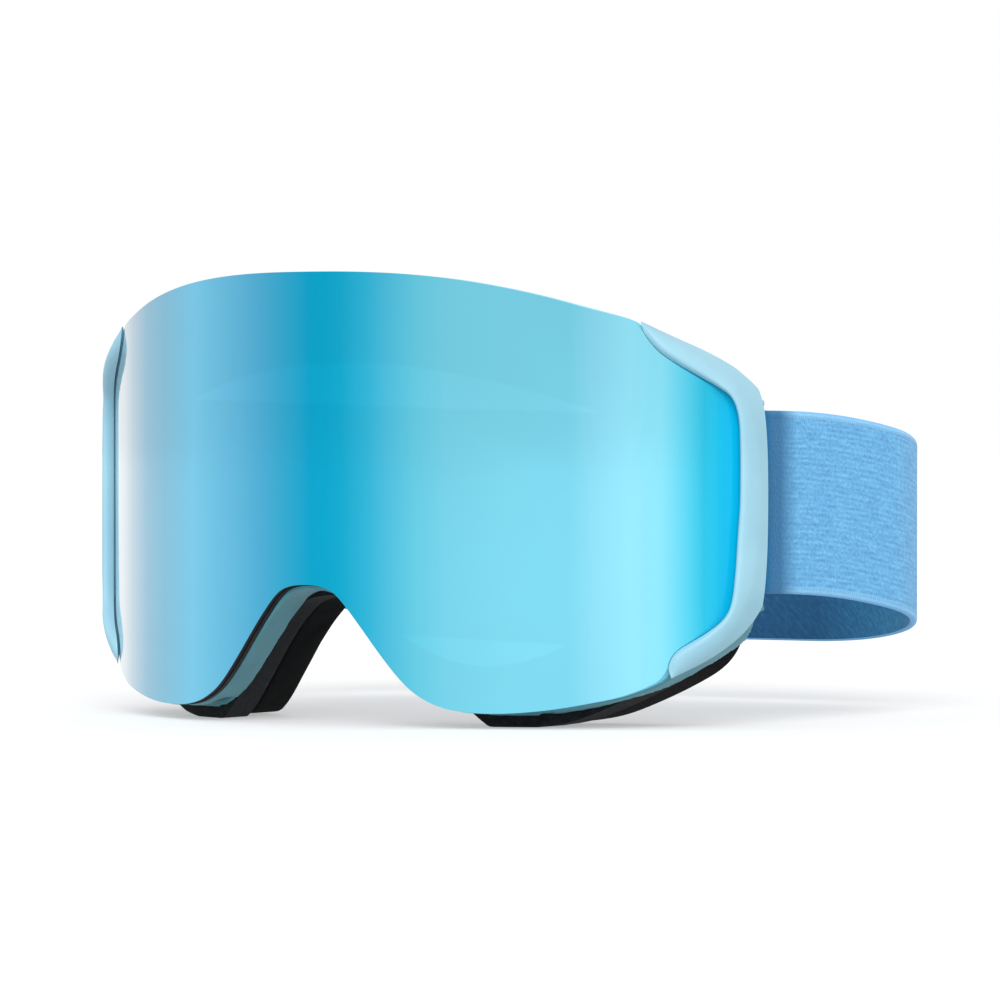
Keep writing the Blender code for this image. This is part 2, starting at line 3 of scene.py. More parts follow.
from math import asin, cos, pi, radians, sin, sqrt

import bmesh
import bpy
import numpy as np
from mathutils import Matrix, Vector


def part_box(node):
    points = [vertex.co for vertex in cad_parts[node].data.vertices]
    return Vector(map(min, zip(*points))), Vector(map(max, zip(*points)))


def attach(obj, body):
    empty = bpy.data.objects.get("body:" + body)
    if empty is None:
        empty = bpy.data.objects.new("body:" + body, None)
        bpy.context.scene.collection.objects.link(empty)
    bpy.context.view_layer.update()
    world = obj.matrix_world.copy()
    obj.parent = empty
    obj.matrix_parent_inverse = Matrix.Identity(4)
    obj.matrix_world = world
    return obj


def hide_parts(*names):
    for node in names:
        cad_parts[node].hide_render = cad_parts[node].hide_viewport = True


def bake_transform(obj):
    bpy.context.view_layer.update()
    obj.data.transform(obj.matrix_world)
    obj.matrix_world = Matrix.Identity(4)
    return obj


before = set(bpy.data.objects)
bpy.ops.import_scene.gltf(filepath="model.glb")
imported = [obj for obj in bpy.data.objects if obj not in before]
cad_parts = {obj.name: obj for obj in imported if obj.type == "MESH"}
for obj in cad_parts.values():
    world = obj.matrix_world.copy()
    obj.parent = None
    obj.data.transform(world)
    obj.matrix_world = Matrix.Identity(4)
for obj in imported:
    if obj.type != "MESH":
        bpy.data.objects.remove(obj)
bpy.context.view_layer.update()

# ---- the object's dimensions, in metres ----
LENS_RADIUS = 0.099
AXIS_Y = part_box("outer_lens")[0].y + LENS_RADIUS
GAP = 0.0003

LENS_THICKNESS = 0.0014
GASKET_THICKNESS = 0.0008
CARRIER_DEPTH = 0.0030
INNER_LENS_THICKNESS = 0.0010
FRAME_DEPTH = 0.0090
BASE_FOAM_DEPTH = 0.0092
FLEECE_DEPTH = 0.0134
CLAW_PROUD = 0.0030
CLAW_DEPTH = 0.0110
RIM_WIDTH = 0.0042
PORT_INSET = 0.0105
GASKET_SPREAD = 0.0002  # how far the gasket shows past the lens
GASKET_DROP = 0.0009  # it sits lower at the top, where none of it shows
GASKET_LOW = 0.0350
GASKET_HIGH = 0.0700
CARRIER_INSET = 0.0046
INNER_LENS_INSET = 0.0078
FOAM_WIDTH = 0.0125

STRAP_THICKNESS = 0.0017
STRAP_WIDTH = 0.0400
STRAP_HALF_SPAN = 0.0800
STRAP_CORNER_RADIUS = 0.0450
STRAP_BACK_Y = 0.0513
STRAP_SIDE_Z = 0.0462
STRAP_BACK_Z = 0.0340
SAG_BIAS = 1.3
PIN_X = 0.0775
PIN_Y = -0.0445
PIN_RADIUS = 0.0012
WRAP_RADIUS = 0.00255
RETURN_X = 0.0782
RETURN_END_Y = -0.0285

FINE_STEP = 0.0009
ARC_STEP = radians(0.9)
ARC_HALF_ANGLE = radians(76)
SLAB_LOW = -0.0200
SLAB_HIGH = 0.1200
OVERCUT = 0.0010
WELD_DISTANCE = 0.000002
CROSSING_LIMIT = 0.985

# ---- half outlines, (X, Z) from the top middle round to the notch's middle ----
LENS_OUTLINE = (
    (0.0, 0.0953), (0.0183, 0.0949), (0.0336, 0.0934), (0.0475, 0.0906), (0.0600, 0.0867),
    (0.0655, 0.0845), (0.0674, 0.0820), (0.0697, 0.0783), (0.0727, 0.0755), (0.0755, 0.0732),
    (0.0783, 0.0708), (0.0800, 0.0688), (0.0809, 0.0655), (0.0812, 0.0600), (0.0812, 0.0475),
    (0.0809, 0.0400), (0.0805, 0.0310), (0.0799, 0.0255), (0.0787, 0.0227), (0.0765, 0.0201),
    (0.0741, 0.0180), (0.0725, 0.0166), (0.0714, 0.0149), (0.0708, 0.0125), (0.0692, 0.0098),
    (0.0640, 0.0070), (0.0585, 0.0055), (0.0520, 0.0042), (0.0460, 0.0035), (0.0400, 0.0033),
    (0.0345, 0.0037), (0.0298, 0.0049), (0.0250, 0.0076), (0.0204, 0.0122), (0.0098, 0.0253),
    (0.0058, 0.0287), (0.0, 0.0296),
)
FRAME_OUTLINE = (
    (0.0, 0.0951), (0.0183, 0.0942), (0.0336, 0.0921), (0.0475, 0.0889), (0.0600, 0.0846),
    (0.0672, 0.0800), (0.0732, 0.0752), (0.0786, 0.0704), (0.0822, 0.0645), (0.0838, 0.0560),
    (0.0838, 0.0400), (0.0830, 0.0300), (0.0806, 0.0222), (0.0770, 0.0165), (0.0727, 0.0127),
    (0.0668, 0.0084), (0.0610, 0.0060), (0.0537, 0.0038), (0.0457, 0.0025), (0.0383, 0.0021),
    (0.0322, 0.0030), (0.0255, 0.0068), (0.0205, 0.0118), (0.0094, 0.0246), (0.0054, 0.0276),
    (0.0, 0.0284),
)
FOAM_OUTLINE = (
    (0.0, 0.0934), (0.0183, 0.0918), (0.0320, 0.0888), (0.0450, 0.0850), (0.0550, 0.0804),
    (0.0630, 0.0742), (0.0680, 0.0665), (0.0703, 0.0580), (0.0707, 0.0460), (0.0707, 0.0320),
    (0.0707, 0.0225), (0.0697, 0.0160), (0.0672, 0.0115), (0.0626, 0.0078), (0.0560, 0.0039),
    (0.0500, 0.0012), (0.0440, 0.0), (0.0392, 0.0), (0.0342, 0.0), (0.0303, 0.0034),
    (0.0266, 0.0078), (0.0231, 0.0122), (0.0195, 0.0168), (0.0152, 0.0216), (0.0098, 0.0256),
    (0.0, 0.0272),
)
FOAM_FLAT = (16, 18)
CLAW_OUTLINE = (
    (0.0669, 0.0846), (0.0711, 0.0814), (0.0754, 0.0781), (0.0789, 0.0744), (0.0818, 0.0702),
    (0.0836, 0.0656), (0.0846, 0.0560), (0.0846, 0.0400), (0.0838, 0.0300), (0.0824, 0.0238),
    (0.0808, 0.0198), (0.0786, 0.0166), (0.0756, 0.0136), (0.0716, 0.0106), (0.0712, 0.0127),
    (0.0717, 0.0149), (0.0728, 0.0166), (0.0743, 0.0179), (0.0767, 0.0200), (0.0789, 0.0226),
    (0.0800, 0.0253), (0.0806, 0.0310), (0.0810, 0.0400), (0.0813, 0.0475), (0.0813, 0.0600),
    (0.0810, 0.0656), (0.0801, 0.0689), (0.0784, 0.0709), (0.0756, 0.0733), (0.0728, 0.0756),
    (0.0698, 0.0784), (0.0676, 0.0820),
)
CLAW_TIPS = (0, 13)
CLAW_RELIEF = (
    (0.0760, -0.0482), (0.0825, -0.0506), (0.0860, -0.0523), (0.0950, -0.0523), (0.0950, -0.0200),
    (0.0760, -0.0200),
)

LUG_OUTLINE = (
    (-0.0031, -0.0072), (0.0024, -0.0072), (0.0021, -0.0040), (0.0016, -0.0004), (0.0010, 0.0022),
    (-0.0012, 0.0025), (-0.0026, 0.0014), (-0.0031, -0.0010),
)
PIN_LENGTH = 0.0445
LUG_HEIGHT = 0.0018

# ---- camera ----
FOCAL_LENGTH = 223.776  # in mm, on a sensor this wide
SENSOR = 36.0
AZIMUTH = radians(32.7)
CAMERA_DISTANCE = 1.386
CAMERA_HEIGHT = 0.065
CAMERA_DOWN = radians(0.772377)
CAMERA_ASIDE = radians(0.554874)  # how far the goggles' axis lies to the side of the view's middle


# ---- outlines ----
def slopes(before, start, end, after):
    """A piece's length, and the curve's slope where it leaves its start and reaches its end."""
    chord = np.linalg.norm(end - start)
    leaving = (end - before) * chord / (np.linalg.norm(start - before) + chord)
    arriving = (after - start) * chord / (np.linalg.norm(after - end) + chord)
    return chord, leaving, arriving


def between(start, end, leaving, arriving, t):
    """The point at share t of one piece of a curve."""
    spot = (2 * t**3 - 3 * t**2 + 1) * start + (t**3 - 2 * t**2 + t) * leaving
    return spot + (3 * t**2 - 2 * t**3) * end + (t**3 - t**2) * arriving


def smooth_loop(points, sharp=(), step=FINE_STEP):
    """A closed curve through the points: Catmull-Rom, with a corner at each sharp index."""
    count = len(points)
    loop = []
    for i in range(count):
        before, start, end, after = (np.array(points[(i + k) % count]) for k in (-1, 0, 1, 2))
        chord, leaving, arriving = slopes(before, start, end, after)
        if i in sharp:
            leaving = end - start
        if (i + 1) % count in sharp:
            arriving = end - start
        pieces = max(1, round(chord / step))
        loop += [between(start, end, leaving, arriving, j / pieces) for j in range(pieces)]
    return np.array(loop)


def mirrored_loop(half, corners=()):
    """A closed outline from its +X half, whose first and last points lie on X = 0."""
    other = [(-x, z) for x, z in half[-2:0:-1]]
    turn = 2 * (len(half) - 1)
    sharp = set(corners) | {turn - index for index in corners}
    return smooth_loop(list(half) + other, sharp)


def inset(loop, distance):
    """The outline moved inwards, without the points that would cross over at a corner."""
    ahead = np.roll(loop, -1, axis=0) - np.roll(loop, 1, axis=0)
    normals = np.stack([ahead[:, 1], -ahead[:, 0]], axis=1)
    normals /= np.linalg.norm(normals, axis=1, keepdims=True)
    area = np.sum(loop[:, 0] * np.roll(loop[:, 1], -1) - np.roll(loop[:, 0], -1) * loop[:, 1])
    moved = loop - np.sign(area) * normals * distance
    span = np.roll(loop, -1, axis=0) - loop
    kept = []
    for spot in moved:
        share = np.sum((spot - loop) * span, axis=1) / np.sum(span * span, axis=1)
        foot = loop + np.clip(share, 0, 1)[:, None] * span
        if np.linalg.norm(foot - spot, axis=1).min() > abs(distance) * CROSSING_LIMIT:
            kept.append(spot)
    return evenly(np.array(kept + kept[:1]), FINE_STEP)[0][:-1]


def evenly(line, step):
    """The line's points again, evenly spaced, and how far along it each one is."""
    along = np.concatenate([[0], np.cumsum(np.linalg.norm(np.diff(line, axis=0), axis=1))])
    at = np.linspace(0, along[-1], round(along[-1] / step) + 1)
    return np.stack([np.interp(at, along, line[:, k]) for k in range(2)], axis=1), at


# ---- solids ----
def link_mesh(name, mesh):
    solid = bpy.data.objects.new(name, mesh)
    bpy.context.scene.collection.objects.link(solid)
    return solid


def link_work(name, work):
    """The working mesh as an object of the scene."""
    mesh = bpy.data.meshes.new(name)
    work.to_mesh(mesh)
    work.free()
    return link_mesh(name, mesh)


def loft(name, rings, closed=False):
    """Faces between neighbouring rings, and end faces unless it runs all the way round."""
    work = bmesh.new()
    made = [[work.verts.new(point) for point in ring] for ring in rings]
    for one, two in zip(made, made[1:] + made[:1] if closed else made[1:]):
        for i in range(len(one)):
            j = (i + 1) % len(one)
            work.faces.new((one[i], one[j], two[j], two[i]))
    if not closed:
        work.faces.new(made[0])
        work.faces.new(made[-1])
    bmesh.ops.recalc_face_normals(work, faces=work.faces)
    return link_work(name, work)


def mirror(solid):
    solid.data.transform(Matrix.Diagonal((-1, 1, 1, 1)))
    solid.data.flip_normals()


def evaluated_mesh(source):
    bpy.context.view_layer.update()
    evaluated = source.evaluated_get(bpy.context.evaluated_depsgraph_get())
    return bpy.data.meshes.new_from_object(evaluated)


def apply_modifiers(solid):
    mesh = evaluated_mesh(solid)
    solid.modifiers.clear()
    solid.data = mesh
    return solid


def weld(mesh):
    work = bmesh.new()
    work.from_mesh(mesh)
    bmesh.ops.remove_doubles(work, verts=work.verts, dist=WELD_DISTANCE)
    bmesh.ops.recalc_face_normals(work, faces=work.faces)
    work.to_mesh(mesh)
    work.free()


def flat_solid(name, loops, depth, matrix):
    """A solid from flat outlines; the ones inside another are holes."""
    curve = bpy.data.curves.new(name, "CURVE")
    curve.dimensions = "2D"
    curve.fill_mode = "BOTH"
    curve.extrude = depth / 2
    for loop in loops:
        spline = curve.splines.new("POLY")
        spline.points.add(len(loop) - 1)
        for point, spot in zip(spline.points, loop):
            point.co = (spot[0], spot[1], 0.0, 1.0)
        spline.use_cyclic_u = True
    source = bpy.data.objects.new(name + ".curve", curve)
    bpy.context.scene.collection.objects.link(source)
    mesh = evaluated_mesh(source)
    mesh.transform(matrix)
    weld(mesh)
    bpy.data.objects.remove(source, do_unlink=True)
    return link_mesh(name, mesh)


def front_prism(name, loops, low_y, high_y):
    """A prism along Y from outlines in X and Z."""
    stand_up = Matrix.Translation((0, (low_y + high_y) / 2, 0)) @ Matrix.Rotation(pi / 2, 4, "X")
    return flat_solid(name, loops, high_y - low_y, stand_up)


def plan_prism(name, loops, low_z, high_z):
    """A prism along Z from outlines in X and Y."""
    return flat_solid(name, loops, high_z - low_z, Matrix.Translation((0, 0, (low_z + high_z) / 2)))


def arc_points(radius, back):
    """Points along an arc round the lens's axis, moved back along Y."""
    count = round(2 * ARC_HALF_ANGLE / ARC_STEP)
    spots = []
    for i in range(count + 1):
        angle = ARC_HALF_ANGLE * (2 * i / count - 1)
        spots.append((radius * sin(angle), AXIS_Y - radius * cos(angle) + back))
    return spots


def combine(target, operation, other):
    modifier = target.modifiers.new(operation.lower(), "BOOLEAN")
    modifier.operation = operation
    modifier.solver = "EXACT"
    modifier.object = other
    apply_modifiers(target)
    weld(target.data)
    bpy.data.objects.remove(other, do_unlink=True)


def layer(name, loops, front, back):
    """A curved layer cut to an outline, with holes."""
    solid = front_prism(name, loops, AXIS_Y - LENS_RADIUS - CLAW_PROUD - OVERCUT, AXIS_Y)
    outline = arc_points(*front) + arc_points(*back)[::-1]
    combine(solid, "INTERSECT", plan_prism(name + ".slab", [outline], SLAB_LOW, SLAB_HIGH))
    return solid


def box(name, size, matrix):
    work = bmesh.new()
    bmesh.ops.create_cube(work, size=1.0)
    bmesh.ops.transform(work, matrix=matrix @ Matrix.Diagonal((*size, 1.0)), verts=work.verts)
    return link_work(name, work)


def voxel(solid, size):
    remesh = solid.modifiers.new("voxel", "REMESH")
    remesh.mode = "VOXEL"
    remesh.voxel_size = size
    return apply_modifiers(solid)


def relax(solid, rounds, factor=0.5):
    smooth = solid.modifiers.new("relax", "SMOOTH")
    smooth.factor = factor
    smooth.iterations = rounds
    return apply_modifiers(solid)


def get_points(solid):
    flat = np.zeros(len(solid.data.vertices) * 3)
    solid.data.vertices.foreach_get("co", flat)
    return flat.reshape(-1, 3)


def set_points(solid, points):
    solid.data.vertices.foreach_set("co", np.ascontiguousarray(points, dtype=float).ravel())
    solid.data.update()


def finish(solid, material, body, *nodes, slot=None, angle=35):
    """Paint the piece, and set its body and the CAD nodes that it replaces; the slot argument is not
    used.
    """
    solid.data.materials.clear()
    solid.data.materials.append(material)
    solid.data.shade_smooth()
    if angle:
        solid.data.set_sharp_from_angle(angle=radians(angle))
    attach(solid, body)
    if nodes:
        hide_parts(*nodes)
    return solid


# ---- materials ----
class Paint:
    """A material's node tree, with short calls for making and joining its nodes."""

    def __init__(self, name, colour, roughness, metallic=0.0, **extra):
        self.material = bpy.data.materials.new(name)
        self.material.use_nodes = True
        self.tree = self.material.node_tree
        self.shader = self.tree.nodes["Principled BSDF"].inputs
        self.colour(colour)
        self.roughness(roughness)
        self.feed(self.shader["Metallic"], metallic)
        for socket, value in extra.items():
            self.feed(self.shader[socket.replace("_", " ")], value)

    def feed(self, socket, value):
        """Another node's output is joined; a value or an sRGB code is set directly."""
        if isinstance(value, bpy.types.NodeSocket):
            self.tree.links.new(value, socket)
        elif isinstance(value, str):
            socket.default_value = (*linear(value), 1.0)
        else:
            socket.default_value = value

    def add(self, kind, output, inputs, **settings):
        """One output of a new node, or all of them, once its inputs are fed."""
        made = self.tree.nodes.new("ShaderNode" + kind)
        for key, value in settings.items():
            setattr(made, key, value)
        for key, value in inputs.items():
            self.feed(made.inputs[key], value)
        return tuple(made.outputs) if output is None else made.outputs[output]

    def where(self):
        return self.add("TexCoord", "Object", {})

    def along_strap(self):
        return self.add("UVMap", "UV", {}, uv_map="strap")

    def axes(self, vector):
        """The X, Y and Z of a vector."""
        return self.add("SeparateXYZ", None, {"Vector": vector})

    def vector(self, x, y, z=0.0):
        return self.add("CombineXYZ", "Vector", {"X": x, "Y": y, "Z": z})

    def mapped(self, source, scale):
        return self.add("Mapping", "Vector", {"Vector": source, "Scale": scale})

    def noise(self, vector, scale, detail=4.0, roughness=0.5):
        return self.add("TexNoise", "Fac", {"Vector": vector, "Scale": scale, "Detail": detail,
                                            "Roughness": roughness})

    def cells(self, vector, scale, feature="F1"):
        return self.add("TexVoronoi", "Distance", {"Vector": vector, "Scale": scale},
                        feature=feature)

    def ramp(self, factor, stops):
        made = self.tree.nodes.new("ShaderNodeValToRGB")
        elements = made.color_ramp.elements
        while len(elements) < len(stops):
            elements.new(0.5)
        for element, (place, colour) in zip(elements, sorted(stops)):
            element.position = place
            element.color = (*colour, 1.0)
        self.feed(made.inputs["Fac"], factor)
        return made.outputs["Color"]

    def tones(self, factor, codes, places=(0.3, 0.7)):
        """Colours from sRGB codes, each at its place along the factor."""
        return self.ramp(factor, [(place, linear(code)) for place, code in zip(places, codes)])

    def math(self, operation, first, second=None):
        inputs = {0: first} if second is None else {0: first, 1: second}
        return self.add("Math", "Value", inputs, operation=operation)

    def plus(self, base, added, weight):
        """The base and a weighted share of something else."""
        return self.math("ADD", base, self.math("MULTIPLY", added, weight))

    def span(self, value, low, high, to_low=0.0, to_high=1.0):
        return self.add("MapRange", "Result", {"Value": value, "From Min": low, "From Max": high,
                                               "To Min": to_low, "To Max": to_high})

    def mix(self, factor, first, second, blend="MIX"):
        return self.add("Mix", 2, {0: factor, 6: first, 7: second}, data_type="RGBA",
                        blend_type=blend)

    def colour(self, source):
        self.feed(self.shader["Base Color"], source)

    def roughness(self, source):
        self.feed(self.shader["Roughness"], source)

    def bump(self, height, distance, strength=1.0):
        normal = self.add("Bump", "Normal", {"Height": height, "Distance": distance,
                                             "Strength": strength})
        self.feed(self.shader["Normal"], normal)


def linear(text):
    """A linear colour from its hexadecimal sRGB code."""
    channels = [int(text[i:i + 2], 16) / 255 for i in (0, 2, 4)]
    return tuple(c / 12.92 if c <= 0.04045 else ((c + 0.055) / 1.055) ** 2.4 for c in channels)


# the coating's blue across the lens by X in metres, with the studio's reflections painted in as its
# lighter and darker bands
COATING_AND_REFLECTION_BANDS = (
    (-0.0810, "d8e4ea"), (-0.0660, "d2dde3"), (-0.0600, "b2c8d7"), (-0.0520, "8cb9d0"),
    (-0.0440, "7fbad3"), (-0.0330, "78c6e5"), (-0.0190, "61b5d8"), (-0.0120, "4eaad0"),
    (-0.0060, "36a5ca"), (0.0010, "11a0c7"), (0.0050, "0fa2c7"), (0.0090, "18a5c9"),
    (0.0150, "31b0d2"), (0.0195, "4cb8d7"), (0.0260, "64c4db"), (0.0320, "72c8de"),
    (0.0440, "77cbe0"), (0.0550, "77cbe1"), (0.0600, "88d4ea"), (0.0650, "91dff2"),
    (0.0700, "8adff3"), (0.0720, "73d8f1"), (0.0740, "57cfec"), (0.0762, "31c1e2"),
    (0.0785, "06a0c6"), (0.0805, "02aad4"),
)
LENS_HALF_WIDTH = 0.0815
COATING_FADES = 0.0762  # beyond here the coating mirrors less, so the claw beside it does not show
COATING_ENDS = 0.0785
END_METALLIC = 0.1
# the lamps' pale leaf-shaped reflections: X from and to, Z of each end, and the middle's rise
LAMP_LEAVES = (
    (-0.0340, 0.0618, 0.0685, 0.0655, 0.0095),
    (0.0223, 0.0552, 0.0197, 0.0178, -0.0058),
)
LEAF_STRENGTH = 0.045
NOSE_ENDS = 0.0340  # how far from the middle the rim stays black
NOSE_FADE = 0.006
NOSE_LOW = 0.035
NOSE_HIGH = 0.050
PAINTED_SHADE_TOP = 0.05  # the shell's painted shade, teal, turns into the claws' light blue between these heights
BLUE_FROM = 0.07

# sRGB codes, mostly from dark to light
EDGE_BLACK = ("0b0c12", "16182a")
EDGE_BLUE = ("5fb4cc", "74c2d8")
BACK_GREY = ("33464f", "40545d")
CLEAR_GREY = ("c9d3d8", "dae2e6")
CLAW_BLUE = ("82adbe", "8cb7c6")
# painted shade: the light-blue shell drawn deep teal low down, where it lies in shade
SHELL_SHADE_TEAL = ("3f7885", "4a8794")
RUBBER_BLACK = ("0b0c0e", "17191c")
CHARCOAL = ("14171a", "1c2023", "262b2e")
PORE_BLACK = "0c0e10"
PILE_BLACK = ("040405", "0c0d0f", "1b1d21")
FLECK_GREY = "3c4046"
VENT_GREY = ("4a4f54", "17191b")
STEEL_GREY = ("a4a8ad", "cfd2d6")
WEBBING_BLUE = ("4387ba", "539ccc", "69b1da")
BORDER_BLUE = "85c1e6"
CORD_BLUE = "4d94c9"
STITCH_BLUE = "3a7fbb"
# painted shadow of the claw on the webbing's start
CLAW_SHADOW_BLUE = "00608f"
# painted shade on the webbing's inner face: nearer the pin, and along the back
NEAR_SHADE_BLUE = ("1f708f", "287bb0", "358ec2")
FAR_SHADE_BLUE = ("0f4b77", "14537e", "1d608b")
WHITE = "ffffff"


def lamp_leaf(paint, x, z, start, end, start_z, end_z, rise):
    """One between a straight line and an arc over it, or under it; nought elsewhere."""
    middle, half = (start + end) / 2, (end - start) / 2
    share = paint.math("DIVIDE", paint.math("SUBTRACT", x, middle), half)
    line = paint.span(share, -1.0, 1.0, start_z, end_z)
    arc = paint.math("SUBTRACT", 1.0, paint.math("MULTIPLY", share, share))
    height = paint.math("DIVIDE", paint.math("SUBTRACT", z, line), rise)
    above = paint.span(height, -0.02, 0.06)
    below = paint.span(paint.math("SUBTRACT", arc, height), 0.0, 0.08)
    return paint.math("MULTIPLY", above, below)


def mirror_paint():
    """The mirror coating: its blue across the lens with the studio's reflections painted in as
    bands, and the lamps' faint reflections painted in too.
    """
    paint = Paint("mirror_coating", "59cbe7", 0.06, 1.0, Specular_IOR_Level=0.15)
    where = paint.where()
    x, _, z = paint.axes(where)
    across = paint.span(x, -LENS_HALF_WIDTH, LENS_HALF_WIDTH)
    # painted reflection: the bands by X carry the studio's reflections as well as the coating's blue
    tint = paint.ramp(across, [((at + LENS_HALF_WIDTH) / (2 * LENS_HALF_WIDTH), linear(code))
                               for at, code in COATING_AND_REFLECTION_BANDS])
    drift = paint.span(paint.noise(where, 14.0, detail=2.0), 0.3, 0.7, 0.97, 1.03)
    for leaf in LAMP_LEAVES:
        drift = paint.plus(drift, lamp_leaf(paint, x, z, *leaf), LEAF_STRENGTH)
    paint.colour(paint.mix(1.0, tint, paint.vector(drift, drift, drift), "MULTIPLY"))
    sideways = paint.math("ABSOLUTE", x)
    bare = paint.span(sideways, COATING_FADES, COATING_ENDS, 1.0, END_METALLIC)
    paint.feed(paint.shader["Metallic"], bare)
    paint.roughness(paint.span(paint.noise(where, 60.0, detail=5.0), 0.35, 0.75, 0.05, 0.085))
    return paint.material


def lens_edge_paint():
    """The cut rim of the lens: black round the nose, and tinted blue everywhere else."""
    paint = Paint("lens_edge", "191c30", 0.5, Specular_IOR_Level=0.15)
    where = paint.where()
    x, _, z = paint.axes(where)
    cloud = paint.noise(where, 220.0)
    sideways = paint.span(paint.math("ABSOLUTE", x), NOSE_ENDS, NOSE_ENDS + NOSE_FADE)
    away = paint.math("MAXIMUM", sideways, paint.span(z, NOSE_LOW, NOSE_HIGH))
    paint.colour(paint.mix(away, paint.tones(cloud, EDGE_BLACK), paint.tones(cloud, EDGE_BLUE)))
    return paint.material


def lens_back_paint():
    paint = Paint("lens_back", BACK_GREY[0], 0.12, 0.2, Coat_Weight=0.8)
    where = paint.where()
    paint.colour(paint.tones(paint.noise(where, 20.0), BACK_GREY))
    paint.roughness(paint.span(paint.noise(where, 90.0), 0.3, 0.7, 0.10, 0.16))
    return paint.material


def inner_lens_paint():
    paint = Paint("inner_lens", CLEAR_GREY[1], 0.04, Transmission_Weight=0.85, IOR=1.2)
    where = paint.where()
    paint.colour(paint.tones(paint.noise(where, 30.0), CLEAR_GREY))
    paint.roughness(paint.span(paint.noise(where, 70.0), 0.35, 0.7, 0.03, 0.07))
    return paint.material


def claw_paint():
    return moulding("claw_plastic", CLAW_BLUE, CLAW_BLUE)


def shell_paint():
    """The claws' light blue, with deep teal painted below as shade."""
    return moulding("shell_plastic", SHELL_SHADE_TEAL, CLAW_BLUE)


def moulding(name, low, high):
    """Soft moulded plastic with a fine spark-eroded grain; its colour can change with height, to
    paint shade lower down.
    """
    paint = Paint(name, low[1], 0.5, Specular_IOR_Level=0.35)
    where = paint.where()
    z = paint.axes(where)[2]
    cloud = paint.noise(where, 45.0, detail=3.0)
    under, over = [paint.tones(cloud, codes, (0.35, 0.65)) for codes in (low, high)]
    # painted shade: the lower colour below, the upper colour along the top
    paint.colour(paint.mix(paint.span(z, PAINTED_SHADE_TOP, BLUE_FROM), under, over))
    paint.roughness(paint.span(paint.noise(where, 160.0), 0.3, 0.7, 0.42, 0.56))
    paint.bump(paint.noise(where, 5200.0, detail=3.0, roughness=0.6), 0.00002, 0.5)
    return paint.material


def gasket_paint():
    """Thin rubber: black round the nose, and painted in the shell's shade teal along the rest of the
    rim.
    """
    paint = Paint("gasket_rubber", RUBBER_BLACK[0], 0.65, Specular_IOR_Level=0.2)
    where = paint.where()
    x = paint.axes(where)[0]
    cloud = paint.noise(where, 300.0)
    away = paint.span(paint.math("ABSOLUTE", x), NOSE_ENDS, NOSE_ENDS + NOSE_FADE)
    # painted shade: the shell's shade teal away from the nose
    paint.colour(paint.mix(away, paint.tones(cloud, RUBBER_BLACK), paint.tones(cloud, SHELL_SHADE_TEAL)))
    paint.roughness(paint.span(paint.noise(where, 500.0), 0.3, 0.7, 0.55, 0.75))
    paint.bump(paint.noise(where, 2600.0), 0.00003, 0.6)
    return paint.material


def base_foam_paint():
    """Charcoal foam with a fine closed skin, pricked by small pores."""
    paint = Paint("charcoal_foam", CHARCOAL[1], 0.95, Specular_IOR_Level=0.1, Sheen_Weight=0.03,
                  Sheen_Roughness=0.6)
    where = paint.where()
    tint = paint.tones(paint.noise(where, 900.0, detail=5.0), CHARCOAL, (0.3, 0.55, 0.75))
    holes = paint.span(paint.cells(where, 1500.0), 0.12, 0.34)
    paint.colour(paint.mix(holes, PORE_BLACK, tint))
    paint.bump(paint.math("ADD", holes, paint.noise(where, 2200.0)), 0.00014, 0.7)
    return paint.material


def fleece_paint():
    """Black brushed facing: a matted pile with pale flecks where fibre ends catch the light."""
    paint = Paint("black_fleece", "121315", 1.0, Specular_IOR_Level=0.05, Sheen_Weight=0.03,
                  Sheen_Roughness=0.45)
    where = paint.where()
    pile = paint.noise(where, 1900.0, detail=6.0, roughness=0.7)
    fleck = paint.span(paint.noise(where, 3300.0, detail=2.0), 0.70, 0.76)
    tint = paint.tones(pile, PILE_BLACK, (0.35, 0.6, 0.78))
    paint.colour(paint.mix(fleck, tint, FLECK_GREY))
    paint.bump(pile, 0.00030, 0.8)
    return paint.material


def vent_foam_paint():
    paint = Paint("vent_foam", "26292c", 1.0)
    wall = paint.cells(paint.where(), 900.0, "DISTANCE_TO_EDGE")
    paint.colour(paint.tones(wall, VENT_GREY, (0.02, 0.16)))
    paint.bump(paint.span(wall, 0.0, 0.2, 1.0, 0.0), 0.0004, 0.8)
    return paint.material


def steel_paint(name, along):
    paint = Paint(name, "bfc2c6", 0.3, 1.0)
    lines = paint.noise(paint.mapped(paint.where(), along), 900.0)
    paint.colour(paint.tones(lines, STEEL_GREY))
    paint.roughness(paint.span(lines, 0.3, 0.7, 0.22, 0.42))
    paint.bump(lines, 0.00001, 0.5)
    return paint.material


STITCH_PITCH = 0.0009
RIB_PITCH = 0.0011
STREAK_WEIGHT = 0.60
BROAD_WEIGHT = 0.10
RIB_WEIGHT = 0.06
BORDER_START = STRAP_WIDTH / 2 - 0.0015
BORDER_FADE = 0.0003
BORDER_MIX = 0.6
CORD_START = STRAP_WIDTH / 2 - 0.0005
CORD_END = STRAP_WIDTH / 2 - 0.0002
STITCH_ROW = BORDER_START + 0.0002
STITCH_HALF_WIDTH = 0.00030
CLAW_SHADOW_START = 0.0085  # painted shadow of the claw: the webbing is darkest up to here from the pin
CLAW_SHADOW_END = 0.0160
SHADE_START = 0.1000  # painted shade: the inner face is darker still along the back stretch
SHADE_END = 0.1240


